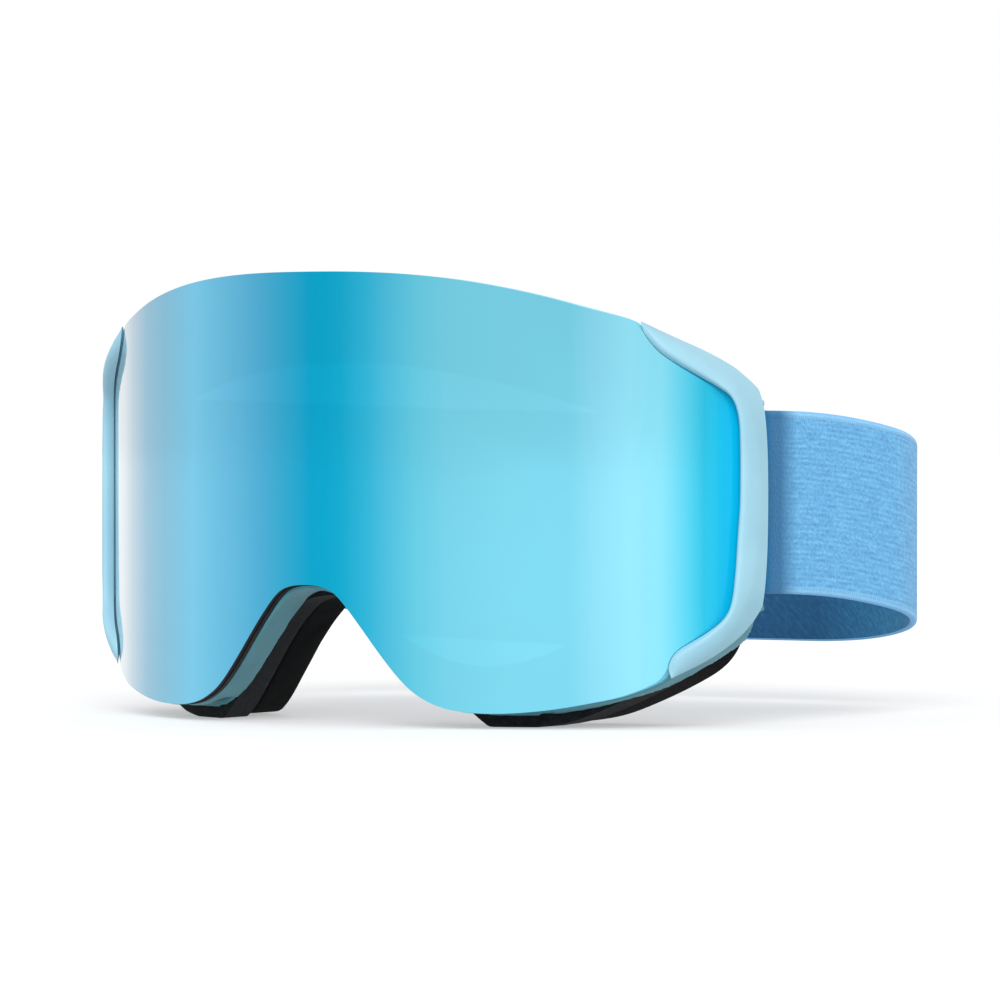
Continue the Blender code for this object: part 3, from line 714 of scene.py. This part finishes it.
def webbing_relief(paint, flat, up):
    """The webbing's relief: fuzz, streaks along it, broad unevenness and fine ribs."""
    height = paint.noise(paint.mapped(flat, (0.75, 1.0, 1.0)), 1250.0, roughness=0.62)
    streaks = paint.noise(paint.mapped(flat, (0.16, 1.0, 1.0)), 1000.0, detail=2.0)
    broad = paint.noise(flat, 90.0, detail=2.0)
    rib = paint.math("SINE", paint.math("MULTIPLY", up, 2 * pi / RIB_PITCH))
    height = paint.plus(height, streaks, STREAK_WEIGHT)
    height = paint.plus(height, broad, BROAD_WEIGHT)
    return paint.plus(height, rib, RIB_WEIGHT)


def stitches(paint, along, edge):
    """One on the stitches of the two rows beside the corded edges."""
    row = paint.math("ABSOLUTE", paint.math("SUBTRACT", edge, STITCH_ROW))
    wave = paint.math("SINE", paint.math("MULTIPLY", along, 2 * pi / STITCH_PITCH))
    dash = paint.math("GREATER_THAN", wave, 0.2)
    return paint.math("MULTIPLY", paint.math("LESS_THAN", row, STITCH_HALF_WIDTH), dash)


def strap_paint():
    """Elastic webbing: a soft mottled face with short ribs along it, and paler corded edges.

    The UV map holds metres: U along the strap, V up from its middle.
    """
    paint = Paint("elastic_webbing", "64a9dc", 0.92, Sheen_Weight=0.12, Sheen_Roughness=0.5)
    flat = paint.along_strap()
    along, up, _ = paint.axes(flat)
    edge = paint.math("ABSOLUTE", up)
    height = webbing_relief(paint, flat, up)
    border = paint.span(edge, BORDER_START - BORDER_FADE, BORDER_START)
    cord = paint.span(edge, CORD_START, CORD_END)
    dot = stitches(paint, along, edge)
    # painted shadow of the claw: darkest at the pin, fading along the strap
    claw_shadow = paint.span(along, CLAW_SHADOW_START, CLAW_SHADOW_END, 1.0, 0.0)
    tint = paint.tones(paint.span(height, 0.60, 1.10), WEBBING_BLUE, (0.0, 0.5, 1.0))
    tint = paint.mix(paint.math("MULTIPLY", border, BORDER_MIX), tint, BORDER_BLUE)
    tint = paint.mix(paint.math("MULTIPLY", cord, BORDER_MIX), tint, CORD_BLUE)
    tint = paint.mix(paint.math("MULTIPLY", dot, 0.5), tint, STITCH_BLUE)
    paint.colour(paint.mix(claw_shadow, tint, CLAW_SHADOW_BLUE))
    deep = paint.math("SUBTRACT", height, paint.math("MULTIPLY", dot, 0.6))
    paint.bump(paint.plus(deep, border, 0.4), 0.00030)
    return paint.material


def strap_inside_paint():
    """The webbing's inner face: painted shade, darker still towards the back, with slanting floats
    of yarn.
    """
    paint = Paint("webbing_inside", "2b6da3", 0.95, Sheen_Weight=0.05)
    along, up, _ = paint.axes(paint.along_strap())
    slant = paint.vector(paint.math("ADD", along, up), paint.math("SUBTRACT", along, up))
    floats = paint.noise(paint.mapped(slant, (0.40, 1.0, 1.0)), 900.0, detail=3.0)
    near, far = [paint.tones(floats, codes, (0.35, 0.55, 0.72)) for codes in (NEAR_SHADE_BLUE, FAR_SHADE_BLUE)]
    # painted shade: the inner face darkens further along the back stretch
    paint.colour(paint.mix(paint.span(along, SHADE_START, SHADE_END), near, far))
    paint.bump(floats, 0.00025, 0.8)
    return paint.material


def moulded_paint(name, dark, light, rough):
    """Hard moulded plastic with a fine grain."""
    paint = Paint(name, light, rough)
    where = paint.where()
    paint.colour(paint.tones(paint.noise(where, 120.0, detail=3.0), (dark, light), (0.35, 0.65)))
    paint.roughness(paint.span(paint.noise(where, 420.0), 0.3, 0.7, rough - 0.08, rough + 0.08))
    paint.bump(paint.noise(where, 3800.0, detail=2.0), 0.00002, 0.5)
    return paint.material


FLOOR_GLOW = 0.40
FLOOR_SHADES = (0.46, 0.48)


def floor_paint():
    """Plain pale paper, a little uneven, that glows enough to read as white."""
    paint = Paint("studio_floor", WHITE, 0.8, Specular_IOR_Level=0.1, Emission_Color=WHITE,
                  Emission_Strength=FLOOR_GLOW)
    dark, light = [(shade,) * 3 for shade in FLOOR_SHADES]
    cloud = paint.noise(paint.where(), 3.0, detail=2.0)
    paint.colour(paint.ramp(cloud, [(0.3, dark), (0.7, light)]))
    return paint.material


# ---- lens ----
LENS_BACK = LENS_RADIUS - LENS_THICKNESS
CARRIER_FRONT = LENS_BACK - GAP
GASKET_BACK = CARRIER_FRONT - GASKET_THICKNESS
CARRIER_BACK = CARRIER_FRONT - CARRIER_DEPTH
INNER_LENS_FRONT = CARRIER_BACK - GAP
INNER_LENS_BACK = INNER_LENS_FRONT - INNER_LENS_THICKNESS
RIM_FRONT = GASKET_BACK - GAP
RECESS_FLOOR = INNER_LENS_BACK - GAP
FRAME_BACK_SHIFT = LENS_RADIUS - RIM_FRONT + FRAME_DEPTH
BASE_SHIFT = FRAME_BACK_SHIFT + GAP
FLEECE_SHIFT = BASE_SHIFT + BASE_FOAM_DEPTH + GAP
FOAM_BACK_SHIFT = FLEECE_SHIFT + FLEECE_DEPTH


FACE_ON = 0.9  # how straight a face of the lens looks outwards, or inwards


def build_lens(lens_loop):
    """The mirrored lens with its gasket, carrier and inner lens."""
    lens = layer("mirror_lens", [lens_loop], (LENS_RADIUS, 0), (LENS_BACK, 0))
    finish(lens, mirror_paint(), "lens", "outer_lens", slot="lens")
    lens.data.materials.append(lens_edge_paint())
    lens.data.materials.append(lens_back_paint())
    for face in lens.data.polygons:
        out = Vector((face.center.x, face.center.y - AXIS_Y, 0)).normalized()
        facing = face.normal.dot(out)
        face.material_index = 0 if facing > FACE_ON else (2 if facing < -FACE_ON else 1)
    rim = inset(lens_loop, -GASKET_SPREAD)
    rim[:, 1] -= GASKET_DROP * np.clip((rim[:, 1] - GASKET_LOW) / (GASKET_HIGH - GASKET_LOW), 0, 1)
    loops = [rim, inset(lens_loop, CARRIER_INSET - GAP)]
    gasket = layer("lens_seal", loops, (CARRIER_FRONT + GAP, 0), (GASKET_BACK - GAP, 0))
    finish(gasket, gasket_paint(), "lens", "lens_gasket", slot="gasket")
    loops = [inset(lens_loop, CARRIER_INSET), inset(lens_loop, PORT_INSET)]
    carrier = layer("carrier_ring", loops, (CARRIER_FRONT, 0), (CARRIER_BACK, 0))
    finish(carrier, moulded_paint("black_plastic", "121316", "1d1f23", 0.5), "lens",
           "lens_carrier", slot="carrier")
    loop = inset(lens_loop, INNER_LENS_INSET)
    inner = layer("clear_inner_lens", [loop], (INNER_LENS_FRONT, 0), (INNER_LENS_BACK, 0))
    finish(inner, inner_lens_paint(), "lens", "inner_lens", slot="inner_lens")


# ---- frame ----
VENTS = ("top_left", "top_middle", "top_right", "bottom_left", "bottom_right")
SHELL_VOXEL = 0.0006
SHELL_RELAX = 6
DRAWN_RISE = 0.0018  # how much higher the shell's lower edge lies at the front than at the back
DRAWN_HEIGHT = 0.0120
VENT_SLOT = (0.0200, 0.0036, 0.0240)
CLAW_STATIONS = 150
SECTION_SHARES = (0.0, 0.03, 0.08, 0.15, 0.24, 0.35, 0.48, 0.60, 0.70, 0.78, 0.85, 0.91, 0.95,
                  0.98, 1.0)
MIN_WIDTH = 0.0002
CLAW_FILLET = 0.0018
INNER_PROUD = 0.00035  # how far a claw stands out right beside the lens
SLOPE_WIDTH = 0.0022
LIP_WIDTH = 0.0007  # how far a claw's thin inner edge reaches over the end of the lens
LIP_CLEARANCE = 0.0001
TIP_REACH = 0.0140
LOWER_REACH = 0.0250  # the claw deepens more slowly from its lower tip
TIP_PROUD = 0.0003
TIP_DEPTH = 0.0040
# how far back a claw may reach behind the lens's end, in X and Y from the axis
RELIEF_X = (0.0, 0.0755, 0.0760, 0.0825, 0.0860)
RELIEF_Y = (0.0, 0.0, -0.0482, -0.0506, -0.0523)


def build_frame(lens_loop):
    """The light-blue shell that carries the lens, the foam and the strap's ears, with shade painted
    in teal lower down.
    """
    port = inset(lens_loop, PORT_INSET)
    shell = layer("soft_frame", [mirrored_loop(FRAME_OUTLINE), port], (RIM_FRONT, 0),
                  (LENS_RADIUS, FRAME_BACK_SHIFT))
    recess = layer("recess", [inset(lens_loop, RIM_WIDTH), inset(lens_loop, PORT_INSET + OVERCUT)],
                   (RIM_FRONT + OVERCUT, 0), (RECESS_FLOOR, 0))
    combine(shell, "DIFFERENCE", recess)
    for side in (-1, 1):
        combine(shell, "DIFFERENCE", strap_relief(side))
        ear = [(side * (PIN_X + x), AXIS_Y + PIN_Y + y) for x, y in LUG_OUTLINE]
        for low in (STRAP_SIDE_Z - PIN_LENGTH / 2, STRAP_SIDE_Z + PIN_LENGTH / 2 - LUG_HEIGHT):
            combine(shell, "UNION", plan_prism("lug", [ear], low, low + LUG_HEIGHT))
    for word in VENTS:
        low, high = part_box("vent_foam_" + word)
        middle = (low + high) / 2
        angle = asin(middle.x / LENS_RADIUS)
        place = Matrix.Translation(middle) @ Matrix.Rotation(angle, 4, "Z")
        combine(shell, "DIFFERENCE", box("slot", VENT_SLOT, place))
    voxel(shell, SHELL_VOXEL)
    relax(shell, SHELL_RELAX)
    draw_up(shell)
    finish(shell, shell_paint(), "frame", "frame", slot="frame", angle=None)
    paint = claw_paint()
    for side, word in ((-1, "left"), (1, "right")):
        build_claw(side, word, paint)


def draw_up(shell):
    """Lift the lower edge at the front, so that it hides behind the lens's own edge."""
    points = get_points(shell)
    depth = points[:, 1] - (AXIS_Y - np.sqrt(LENS_RADIUS**2 - points[:, 0]**2))
    front = 1 - np.clip(depth / FRAME_BACK_SHIFT, 0, 1)
    low = 1 - np.clip(points[:, 2] / DRAWN_HEIGHT, 0, 1)
    points[:, 2] += DRAWN_RISE * front * low
    set_points(shell, points)


def strap_relief(side):
    """Room in the shell for the strap's end."""
    outline = [(side * x, AXIS_Y + y) for x, y in CLAW_RELIEF]
    return plan_prism("relief", [outline], SLAB_LOW, SLAB_HIGH)


def build_claw(side, word, paint):
    """A light-blue hook round one end of the lens, lofted along its two edges."""
    tip = CLAW_TIPS[1]
    outer = stations(CLAW_OUTLINE[:tip + 1])
    inner = stations((CLAW_OUTLINE[tip:] + CLAW_OUTLINE[:1])[::-1])
    rings = []
    for out, own in zip(outer, inner):
        upper, lower = np.hypot(*(own - outer[0])), np.hypot(*(own - outer[-1]))
        rise = min(upper / TIP_REACH, lower / TIP_REACH, 1.0)
        full = TIP_PROUD + (CLAW_PROUD - TIP_PROUD) * rise * (2 - rise)
        depth = TIP_DEPTH + (CLAW_DEPTH - TIP_DEPTH) * min(rise, lower / LOWER_REACH)
        rings.append(claw_section(own, out, full, depth))
    placed = [[(side * x, AXIS_Y + y, z) for x, y, z in ring] for ring in rings]
    claw = loft("claw_" + word, placed)
    finish(claw, paint, "frame", "frame", slot="frame", angle=50)


def stations(points):
    """The same number of places along either edge of a claw, from the upper tip to the lower."""
    line = open_curve(np.array(points), FINE_STEP)[0]
    at = np.linspace(0, len(line) - 1, CLAW_STATIONS)
    return np.stack([np.interp(at, np.arange(len(line)), line[:, k]) for k in range(2)], axis=1)


def claw_section(inner, outer, full, depth):
    """One closed ring from the inner edge over the front to the outer edge, and back behind."""
    span = outer - inner
    width = max(np.hypot(*span), MIN_WIDTH)
    least = min(INNER_PROUD, full)
    fillet = min(CLAW_FILLET, width / 2, full)
    ring = []
    for share in SECTION_SHARES:
        rise = min(share * width / SLOPE_WIDTH, 1.0)
        proud = least + (full - least) * rise * (2 - rise)
        past = max(share * width - (width - fillet), 0) / fillet
        proud -= fillet * (1 - sqrt(max(1 - past**2, 0)))
        x, z = inner + share * span
        ring.append((x, -sqrt((LENS_RADIUS + proud)**2 - x**2), z))
    root = inner + span * min(LIP_WIDTH / width, 0.5)
    for x, z in (outer, (inner + outer) / 2, root):
        back = depth - sqrt((LENS_RADIUS + CLAW_PROUD)**2 - x**2)
        ring.append((x, min(back, np.interp(x, RELIEF_X, RELIEF_Y)), z))
    ring.append((root[0], -sqrt((LENS_RADIUS + LIP_CLEARANCE)**2 - root[0]**2), root[1]))
    return ring


# ---- foam ----
FLEECE_MARGIN = 0.0005  # how much smaller the fleece starts, before it swells
FLEECE_SWELL = 0.0006
FLEECE_CORNER = 0.0012
FLEECE_STATIONS = 300
FLEECE_PRESSURE = 4.0
FLEECE_STIFFNESS = 8.0
SETTLING_FRAMES = 20
PINNED_DEPTH = 0.0030
BASE_CORNER = 0.0004
BASE_STATIONS = 600
PAIRING_REACH = 9  # stations that the pairing of outer and inner outline is evened over
PAIRING_FINENESS = 4
BEND_POINTS = 5
SIDE_POINTS = 6
BACK_POINTS = 9
FRONT_POINTS = 8


def build_foam():
    """The charcoal layer as cut foam, and the fleece layer filled out by a cloth simulation."""
    foam_loop = mirrored_loop(FOAM_OUTLINE, FOAM_FLAT)
    base = foam_ring("foam_base", foam_loop, inset(foam_loop, FOAM_WIDTH), BASE_STATIONS,
                     foam_section(BASE_SHIFT, FLEECE_SHIFT - GAP, BASE_CORNER))
    finish(base, base_foam_paint(), "frame", "face_foam_base", slot="base_foam", angle=50)
    outer, inner = inset(foam_loop, FLEECE_MARGIN), inset(foam_loop, FOAM_WIDTH - FLEECE_MARGIN)
    section = foam_section(FLEECE_SHIFT, FOAM_BACK_SHIFT - FLEECE_MARGIN, FLEECE_CORNER)
    fleece = foam_ring("foam_fleece", outer, inner, FLEECE_STATIONS, section)
    swell(fleece)
    smooth = fleece.modifiers.new("smooth", "SUBSURF")
    smooth.levels = 1
    apply_modifiers(fleece)
    rest_on_floor(fleece)
    finish(fleece, fleece_paint(), "frame", "face_foam_fleece", slot="fleece", angle=None)


def closed_points(loop, count):
    """Evenly spaced points round a closed outline."""
    line, at = evenly(np.vstack([loop, loop[:1]]), FINE_STEP)
    places = np.linspace(0, at[-1], count, endpoint=False)
    return np.stack([np.interp(places, at, line[:, k]) for k in range(2)], axis=1)


def paired(outer, inner, count):
    """Points round the outer outline, and the inner outline's point that belongs to each."""
    spots = closed_points(outer, count)
    fine = PAIRING_FINENESS * count
    dense = closed_points(inner, fine)
    nearest = np.array([np.argmin(np.hypot(*(dense - spot).T)) for spot in spots])
    nearest[nearest > fine - count + np.arange(count)] = 0
    nearest = np.maximum.accumulate(nearest)
    wide = np.pad(nearest.astype(float), PAIRING_REACH, "edge")
    reach = 2 * PAIRING_REACH + 1
    even = np.convolve(wide, np.ones(reach) / reach, "valid")
    places = np.arange(fine)
    return spots, np.stack([np.interp(even, places, dense[:, k]) for k in range(2)], axis=1)


def foam_section(front, back, corner):
    """Points round a foam ring's section: share of the width, offset in metres, and depth."""
    turn = np.linspace(0, pi / 2, BEND_POINTS)
    bend = [(corner * (1 - cos(a)), back - corner * (1 - sin(a))) for a in turn]
    section = [(0, 0, depth) for depth in np.linspace(front, back - corner, SIDE_POINTS)[:-1]]
    section += [(0, offset, depth) for offset, depth in bend]
    section += [(share, 0, back) for share in np.linspace(0, 1, BACK_POINTS)[1:-1]]
    section += [(1, -offset, depth) for offset, depth in bend[::-1]]
    section += [(1, 0, depth) for depth in np.linspace(back - corner, front, SIDE_POINTS)[1:]]
    section += [(share, 0, front) for share in np.linspace(1, 0, FRONT_POINTS)[1:-1]]
    return section


def foam_ring(name, outer, inner, count, section):
    """Foam between two outlines, which bends with the lens, lofted all the way round."""
    rings = []
    for start, end in zip(*paired(outer, inner, count)):
        across = (end - start) / np.hypot(*(end - start))
        ring = []
        for share, offset, depth in section:
            x, z = start + (end - start) * share + across * offset
            ring.append((x, AXIS_Y - sqrt(LENS_RADIUS**2 - x**2) + depth, z))
        rings.append(ring)
    return loft(name, rings, closed=True)


def swell(solid):
    """The cover fills out under the foam inside it; its glued front stays put."""
    start = get_points(solid)
    depth = start[:, 1] - (AXIS_Y - np.sqrt(LENS_RADIUS**2 - start[:, 0]**2)) - FLEECE_SHIFT
    group = solid.vertex_groups.new(name="glued")
    group.add([int(index) for index in np.flatnonzero(depth < PINNED_DEPTH)], 1.0, "REPLACE")
    cloth = solid.modifiers.new("cover", "CLOTH")
    cloth.settings.vertex_group_mass = "glued"
    cloth.settings.use_pressure = True
    cloth.settings.uniform_pressure_force = FLEECE_PRESSURE
    cloth.settings.tension_stiffness = FLEECE_STIFFNESS
    cloth.settings.compression_stiffness = FLEECE_STIFFNESS
    cloth.settings.effector_weights.gravity = 0.0
    for number in range(1, SETTLING_FRAMES + 1):
        bpy.context.scene.frame_set(number)
    apply_modifiers(solid)
    solid.vertex_groups.clear()
    moved = get_points(solid) - start
    length = np.linalg.norm(moved, axis=1)
    scale = np.minimum(1, FLEECE_SWELL / np.maximum(length, FLEECE_SWELL / 100))
    set_points(solid, start + moved * scale[:, None])


def rest_on_floor(solid):
    """Nothing reaches below the surface that the goggles stand on."""
    points = get_points(solid)
    points[:, 2] = np.maximum(points[:, 2], 0)
    set_points(solid, points)


# ---- strap ----
WEBBING_STEP = 0.0012
WEBBING_ROWS = 56
HEM_POINTS = 7
CURVE_PARTS = 12
RETURN_Y = (RETURN_END_Y, -0.0330, -0.0375, -0.0425)
RETURN_EASE = 0.0004  # how gently the sewn return runs into the wrap round the pin
WRAP_PARTS = 8
STRAIGHT_Y = (-0.0380, -0.0200, 0.0)
CORNER_PARTS = 12
BACK_SHARES = (0.6, 0.3, 0.0)
BACK_REACH = 0.001
TUCK = 0.0016  # how much the webbing's lower edge is drawn up at the pin
TUCK_REACH = 0.0800
SEAM_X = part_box("strap_slider")[0].x / 2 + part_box("strap_slider")[1].x / 2


def strap_plan(seam_x):
    """The middle of the webbing in plan, from the sewn return, round the pin, to the seam."""
    corner_x = STRAP_HALF_SPAN - STRAP_CORNER_RADIUS
    corner_y = STRAP_BACK_Y - STRAP_CORNER_RADIUS
    return_x = (RETURN_X, RETURN_X, RETURN_X - RETURN_EASE, PIN_X - WRAP_RADIUS + RETURN_EASE)
    spots = list(zip(return_x, RETURN_Y))
    for i in range(WRAP_PARTS + 1):
        angle = pi + pi * i / WRAP_PARTS
        spots.append((PIN_X + WRAP_RADIUS * cos(angle), PIN_Y + WRAP_RADIUS * sin(angle)))
    spots += [(STRAP_HALF_SPAN, y) for y in STRAIGHT_Y]
    for i in range(CORNER_PARTS + 1):
        angle = radians(90) * i / CORNER_PARTS
        spots.append((corner_x + STRAP_CORNER_RADIUS * cos(angle),
                      corner_y + STRAP_CORNER_RADIUS * sin(angle)))
    spots += [(seam_x + (corner_x - seam_x) * share, STRAP_BACK_Y) for share in BACK_SHARES]
    return np.array(spots)


def open_curve(spots, step):
    """The points joined by a smooth open curve, evenly spaced."""
    ends = np.vstack([2 * spots[0] - spots[1], spots, 2 * spots[-1] - spots[-2]])
    line = []
    for before, start, end, after in zip(ends, ends[1:], ends[2:], ends[3:]):
        _, leaving, arriving = slopes(before, start, end, after)
        line += [between(start, end, leaving, arriving, t)
                 for t in np.linspace(0, 1, CURVE_PARTS, endpoint=False)]
    return evenly(np.array(line + [spots[-1]]), step)


def strap_heights(plan, at):
    """The middle of the webbing's width: it sags from the pin to the end of the corner."""
    at_pin = at[np.argmin(plan[:, 1])]
    corner_x = STRAP_HALF_SPAN - STRAP_CORNER_RADIUS
    behind = (plan[:, 1] > STRAP_BACK_Y - BACK_REACH) & (plan[:, 0] <= corner_x)
    full = at[behind][0] - at_pin
    share = np.clip(np.abs(at - at_pin) / full, 0, 1) ** SAG_BIAS
    return STRAP_SIDE_Z + (STRAP_BACK_Z - STRAP_SIDE_Z) * (1 - np.cos(pi * share)) / 2


def webbing(name, plan, heights, at, thickness, low, high, offset=0.0, rows=WEBBING_ROWS, tuck=None):
    """A ribbon with round edges along a plan curve, with its UV map in metres.

    Its first material is for the outer face and the edges, its second for the inner face.
    """
    tuck = np.zeros(len(at)) if tuck is None else tuck
    ahead = np.gradient(plan, axis=0)
    outward = np.stack([ahead[:, 1], -ahead[:, 0]], axis=1)
    outward /= np.linalg.norm(outward, axis=1, keepdims=True)
    edge = thickness / 2
    flat = np.linspace(low + edge, high - edge, rows)
    turn = np.linspace(-pi / 2, pi / 2, HEM_POINTS)[1:-1]
    section = [(edge, up) for up in flat]
    section += [(edge * cos(a + pi / 2), high - edge + edge * sin(a + pi / 2)) for a in turn]
    section += [(-edge, up) for up in flat[::-1]]
    section += [(-edge * cos(a + pi / 2), low + edge - edge * sin(a + pi / 2)) for a in turn]
    section = np.array(section)
    count = len(section)
    work = bmesh.new()
    uv = work.loops.layers.uv.new("strap")
    rings = []
    for spot, out, z, lift in zip(plan, outward, heights, tuck):
        ring = []
        for across, up in section:
            x, y = spot + out * (offset + across)
            raised = lift * (high - up) / (high - low)
            ring.append(work.verts.new((x, AXIS_Y + y, z + up + raised)))
        rings.append(ring)
    for i in range(len(rings) - 1):
        for j in range(count):
            k = (j + 1) % count
            face = work.faces.new((rings[i][j], rings[i][k], rings[i + 1][k], rings[i + 1][j]))
            corners = ((at[i], section[j][1]), (at[i], section[k][1]),
                       (at[i + 1], section[k][1]), (at[i + 1], section[j][1]))
            for loop, corner in zip(face.loops, corners):
                loop[uv].uv = corner
            inner = section[j][0] < 0 and section[k][0] < 0
            face.material_index = 1 if inner and abs(section[j][0]) == edge else 0
    work.faces.new(rings[0][::-1])
    work.faces.new(rings[-1])
    bmesh.ops.recalc_face_normals(work, faces=work.faces)
    return link_work(name, work)


def build_strap(materials):
    """Both halves of the strap from pin to seam."""
    half = STRAP_WIDTH / 2
    for side, word in ((1, "right"), (-1, "left")):
        plan, at = open_curve(strap_plan(side * SEAM_X), WEBBING_STEP)
        heights = strap_heights(plan, at)
        at = at - at[np.argmin(plan[:, 1])]
        strap = webbing("strap_half_" + word, plan, heights, at, STRAP_THICKNESS, -half, half,
                        tuck=TUCK * (1 - np.clip(at / TUCK_REACH, 0, 1)))
        if side < 0:
            mirror(strap)
        strap.data.materials.append(materials["strap"])
        strap.data.materials.append(materials["strap_inside"])
        strap.data.shade_smooth()
        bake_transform(strap)
        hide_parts("strap_main", "strap_end_" + word)
    build_fold(materials)
    build_grips(materials)


def build_fold(materials):
    """The webbing's folded layer behind the strap, which the slider grips."""
    low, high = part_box("strap_fold")
    middle_y = (low.y + high.y) / 2 - AXIS_Y
    spots = np.array([(high.x, middle_y), ((low.x + high.x) / 2, middle_y), (low.x, middle_y)])
    plan, at = open_curve(spots, WEBBING_STEP)
    at = at + CLAW_SHADOW_END  # past the painted shadow near the pin
    heights = np.full(len(at), STRAP_BACK_Z)
    half = STRAP_WIDTH / 2
    fold = webbing("folded_webbing", plan, heights, at, STRAP_THICKNESS, -half, half)
    finish(fold, materials["strap"], "frame", "strap_fold", slot="strap", angle=None)
    fold.data.materials.append(materials["strap_inside"])


GRIP_STEP = 0.0020
GRIP_START = 14  # the point of the strap's plan where the lines start
GRIP_WIDTH = 0.0022
GRIP_THICKNESS = 0.0006
GRIP_OFFSET = -0.00125  # the lines lie on the webbing's inner face
GRIP_ROWS = 4


def build_grips(materials):
    """Three silicone lines inside the strap, each in two halves."""
    plan, at = open_curve(strap_plan(0.0)[GRIP_START:], GRIP_STEP)
    heights = strap_heights(*open_curve(strap_plan(0.0), GRIP_STEP))[-len(at):]
    for number in (1, 2, 3):
        node = f"strap_grip_{number}"
        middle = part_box(node)[1].z - STRAP_SIDE_Z
        for side, word in ((1, "right"), (-1, "left")):
            grip = webbing(f"silicone_line_{number}_{word}", plan, heights, at, GRIP_THICKNESS,
                           middle - GRIP_WIDTH, middle, offset=GRIP_OFFSET, rows=GRIP_ROWS)
            if side < 0:
                mirror(grip)
            finish(grip, materials["grip"], "frame", node, slot="grip", angle=None)
            grip.data.materials.append(materials["grip"])


SLIDER_ROUND = 0.0005
PIN_ROUND = 0.0004
PIN_SIDES = 48


def build_slider(materials):
    """The slider's CAD solid with its edges rounded."""
    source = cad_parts["strap_slider"]
    slider = link_mesh("slider_body", source.data.copy())
    weld(slider.data)
    dissolve = slider.modifiers.new("flat", "DECIMATE")
    dissolve.decimate_type = "DISSOLVE"
    dissolve.angle_limit = radians(1)
    bevel = slider.modifiers.new("round", "BEVEL")
    bevel.width = SLIDER_ROUND
    bevel.segments = 3
    bevel.limit_method = "ANGLE"
    apply_modifiers(slider)
    finish(slider, materials["slider"], "slider", "strap_slider", slot="slider", angle=40)


def build_pins(materials):
    for side, word in ((-1, "left"), (1, "right")):
        work = bmesh.new()
        place = Matrix.Translation((side * PIN_X, AXIS_Y + PIN_Y, STRAP_SIDE_Z))
        bmesh.ops.create_cone(work, cap_ends=True, segments=PIN_SIDES, radius1=PIN_RADIUS,
                              radius2=PIN_RADIUS, depth=PIN_LENGTH, matrix=place)
        rims = [edge for edge in work.edges if len(edge.link_faces) == 2
                and edge.calc_face_angle() > radians(60)]
        bmesh.ops.bevel(work, geom=rims, offset=PIN_ROUND, segments=3, affect="EDGES",
                        profile=0.5)
        pin = link_work("steel_pin_" + word, work)
        finish(pin, materials["pin"], "frame", "strap_pin_" + word, slot="pin")


def paint_cad_nodes(materials):
    """The magnets and vent foam keep their CAD shape and get a finished material."""
    for name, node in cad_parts.items():
        for key in ("magnet", "vent_foam"):
            if key in name:
                node.data.materials.clear()
                node.data.materials.append(materials[key])


# ---- studio ----
FLOOR_HALF = 8.0


def build_floor():
    work = bmesh.new()
    bmesh.ops.create_grid(work, x_segments=8, y_segments=8, size=FLOOR_HALF)
    floor = link_work("studio_floor", work)
    floor.data.materials.append(floor_paint())


KEY_DIRECTION = (-0.42, 0.80, -0.55)
KEY_ENERGY = 2.4
KEY_ANGLE = radians(40)
SKY_STRENGTH = 1.0


def build_lights():
    """One broad soft sun, and an even white surround."""
    world = bpy.data.worlds.new("studio")
    world.use_nodes = True
    background = world.node_tree.nodes["Background"]
    background.inputs["Color"].default_value = (1.0, 1.0, 1.0, 1.0)
    background.inputs["Strength"].default_value = SKY_STRENGTH
    bpy.context.scene.world = world
    sun = bpy.data.lights.new("key", "SUN")
    sun.energy = KEY_ENERGY
    sun.angle = KEY_ANGLE
    lamp = bpy.data.objects.new("key", sun)
    bpy.context.scene.collection.objects.link(lamp)
    lamp.rotation_euler = Vector(KEY_DIRECTION).to_track_quat("-Z", "Y").to_euler()


def build_camera():
    """A long lens low in front of the right side, with the goggles' axis a little off centre."""
    data = bpy.data.cameras.new("camera")
    data.sensor_width = SENSOR
    data.lens = FOCAL_LENGTH
    data.clip_start = 0.05
    data.clip_end = 20.0
    camera = bpy.data.objects.new("camera", data)
    bpy.context.scene.collection.objects.link(camera)
    camera.location = (CAMERA_DISTANCE * sin(AZIMUTH), AXIS_Y - CAMERA_DISTANCE * cos(AZIMUTH),
                       CAMERA_HEIGHT)
    camera.rotation_euler = (pi / 2 - CAMERA_DOWN, 0, AZIMUTH + CAMERA_ASIDE)
    bpy.context.scene.camera = camera
    bpy.context.scene.view_settings.view_transform = "Standard"


def build_all():
    """Every visible piece of the goggles."""
    materials = {
        "magnet": steel_paint("magnet_steel", (1.0, 1.0, 1.0)),
        "vent_foam": vent_foam_paint(),
        "pin": steel_paint("pin_steel", (1.0, 1.0, 0.05)),
        "strap": strap_paint(),
        "strap_inside": strap_inside_paint(),
        "slider": moulded_paint("slider_plastic", "5b9fd2", "69acdc", 0.4),
        "grip": moulded_paint("silicone", "a6d3ea", "b9deef", 0.35),
    }
    lens_loop = mirrored_loop(LENS_OUTLINE)
    build_lens(lens_loop)
    build_frame(lens_loop)
    build_foam()
    build_strap(materials)
    build_slider(materials)
    build_pins(materials)
    paint_cad_nodes(materials)


build_all()
build_floor()
build_lights()
build_camera()
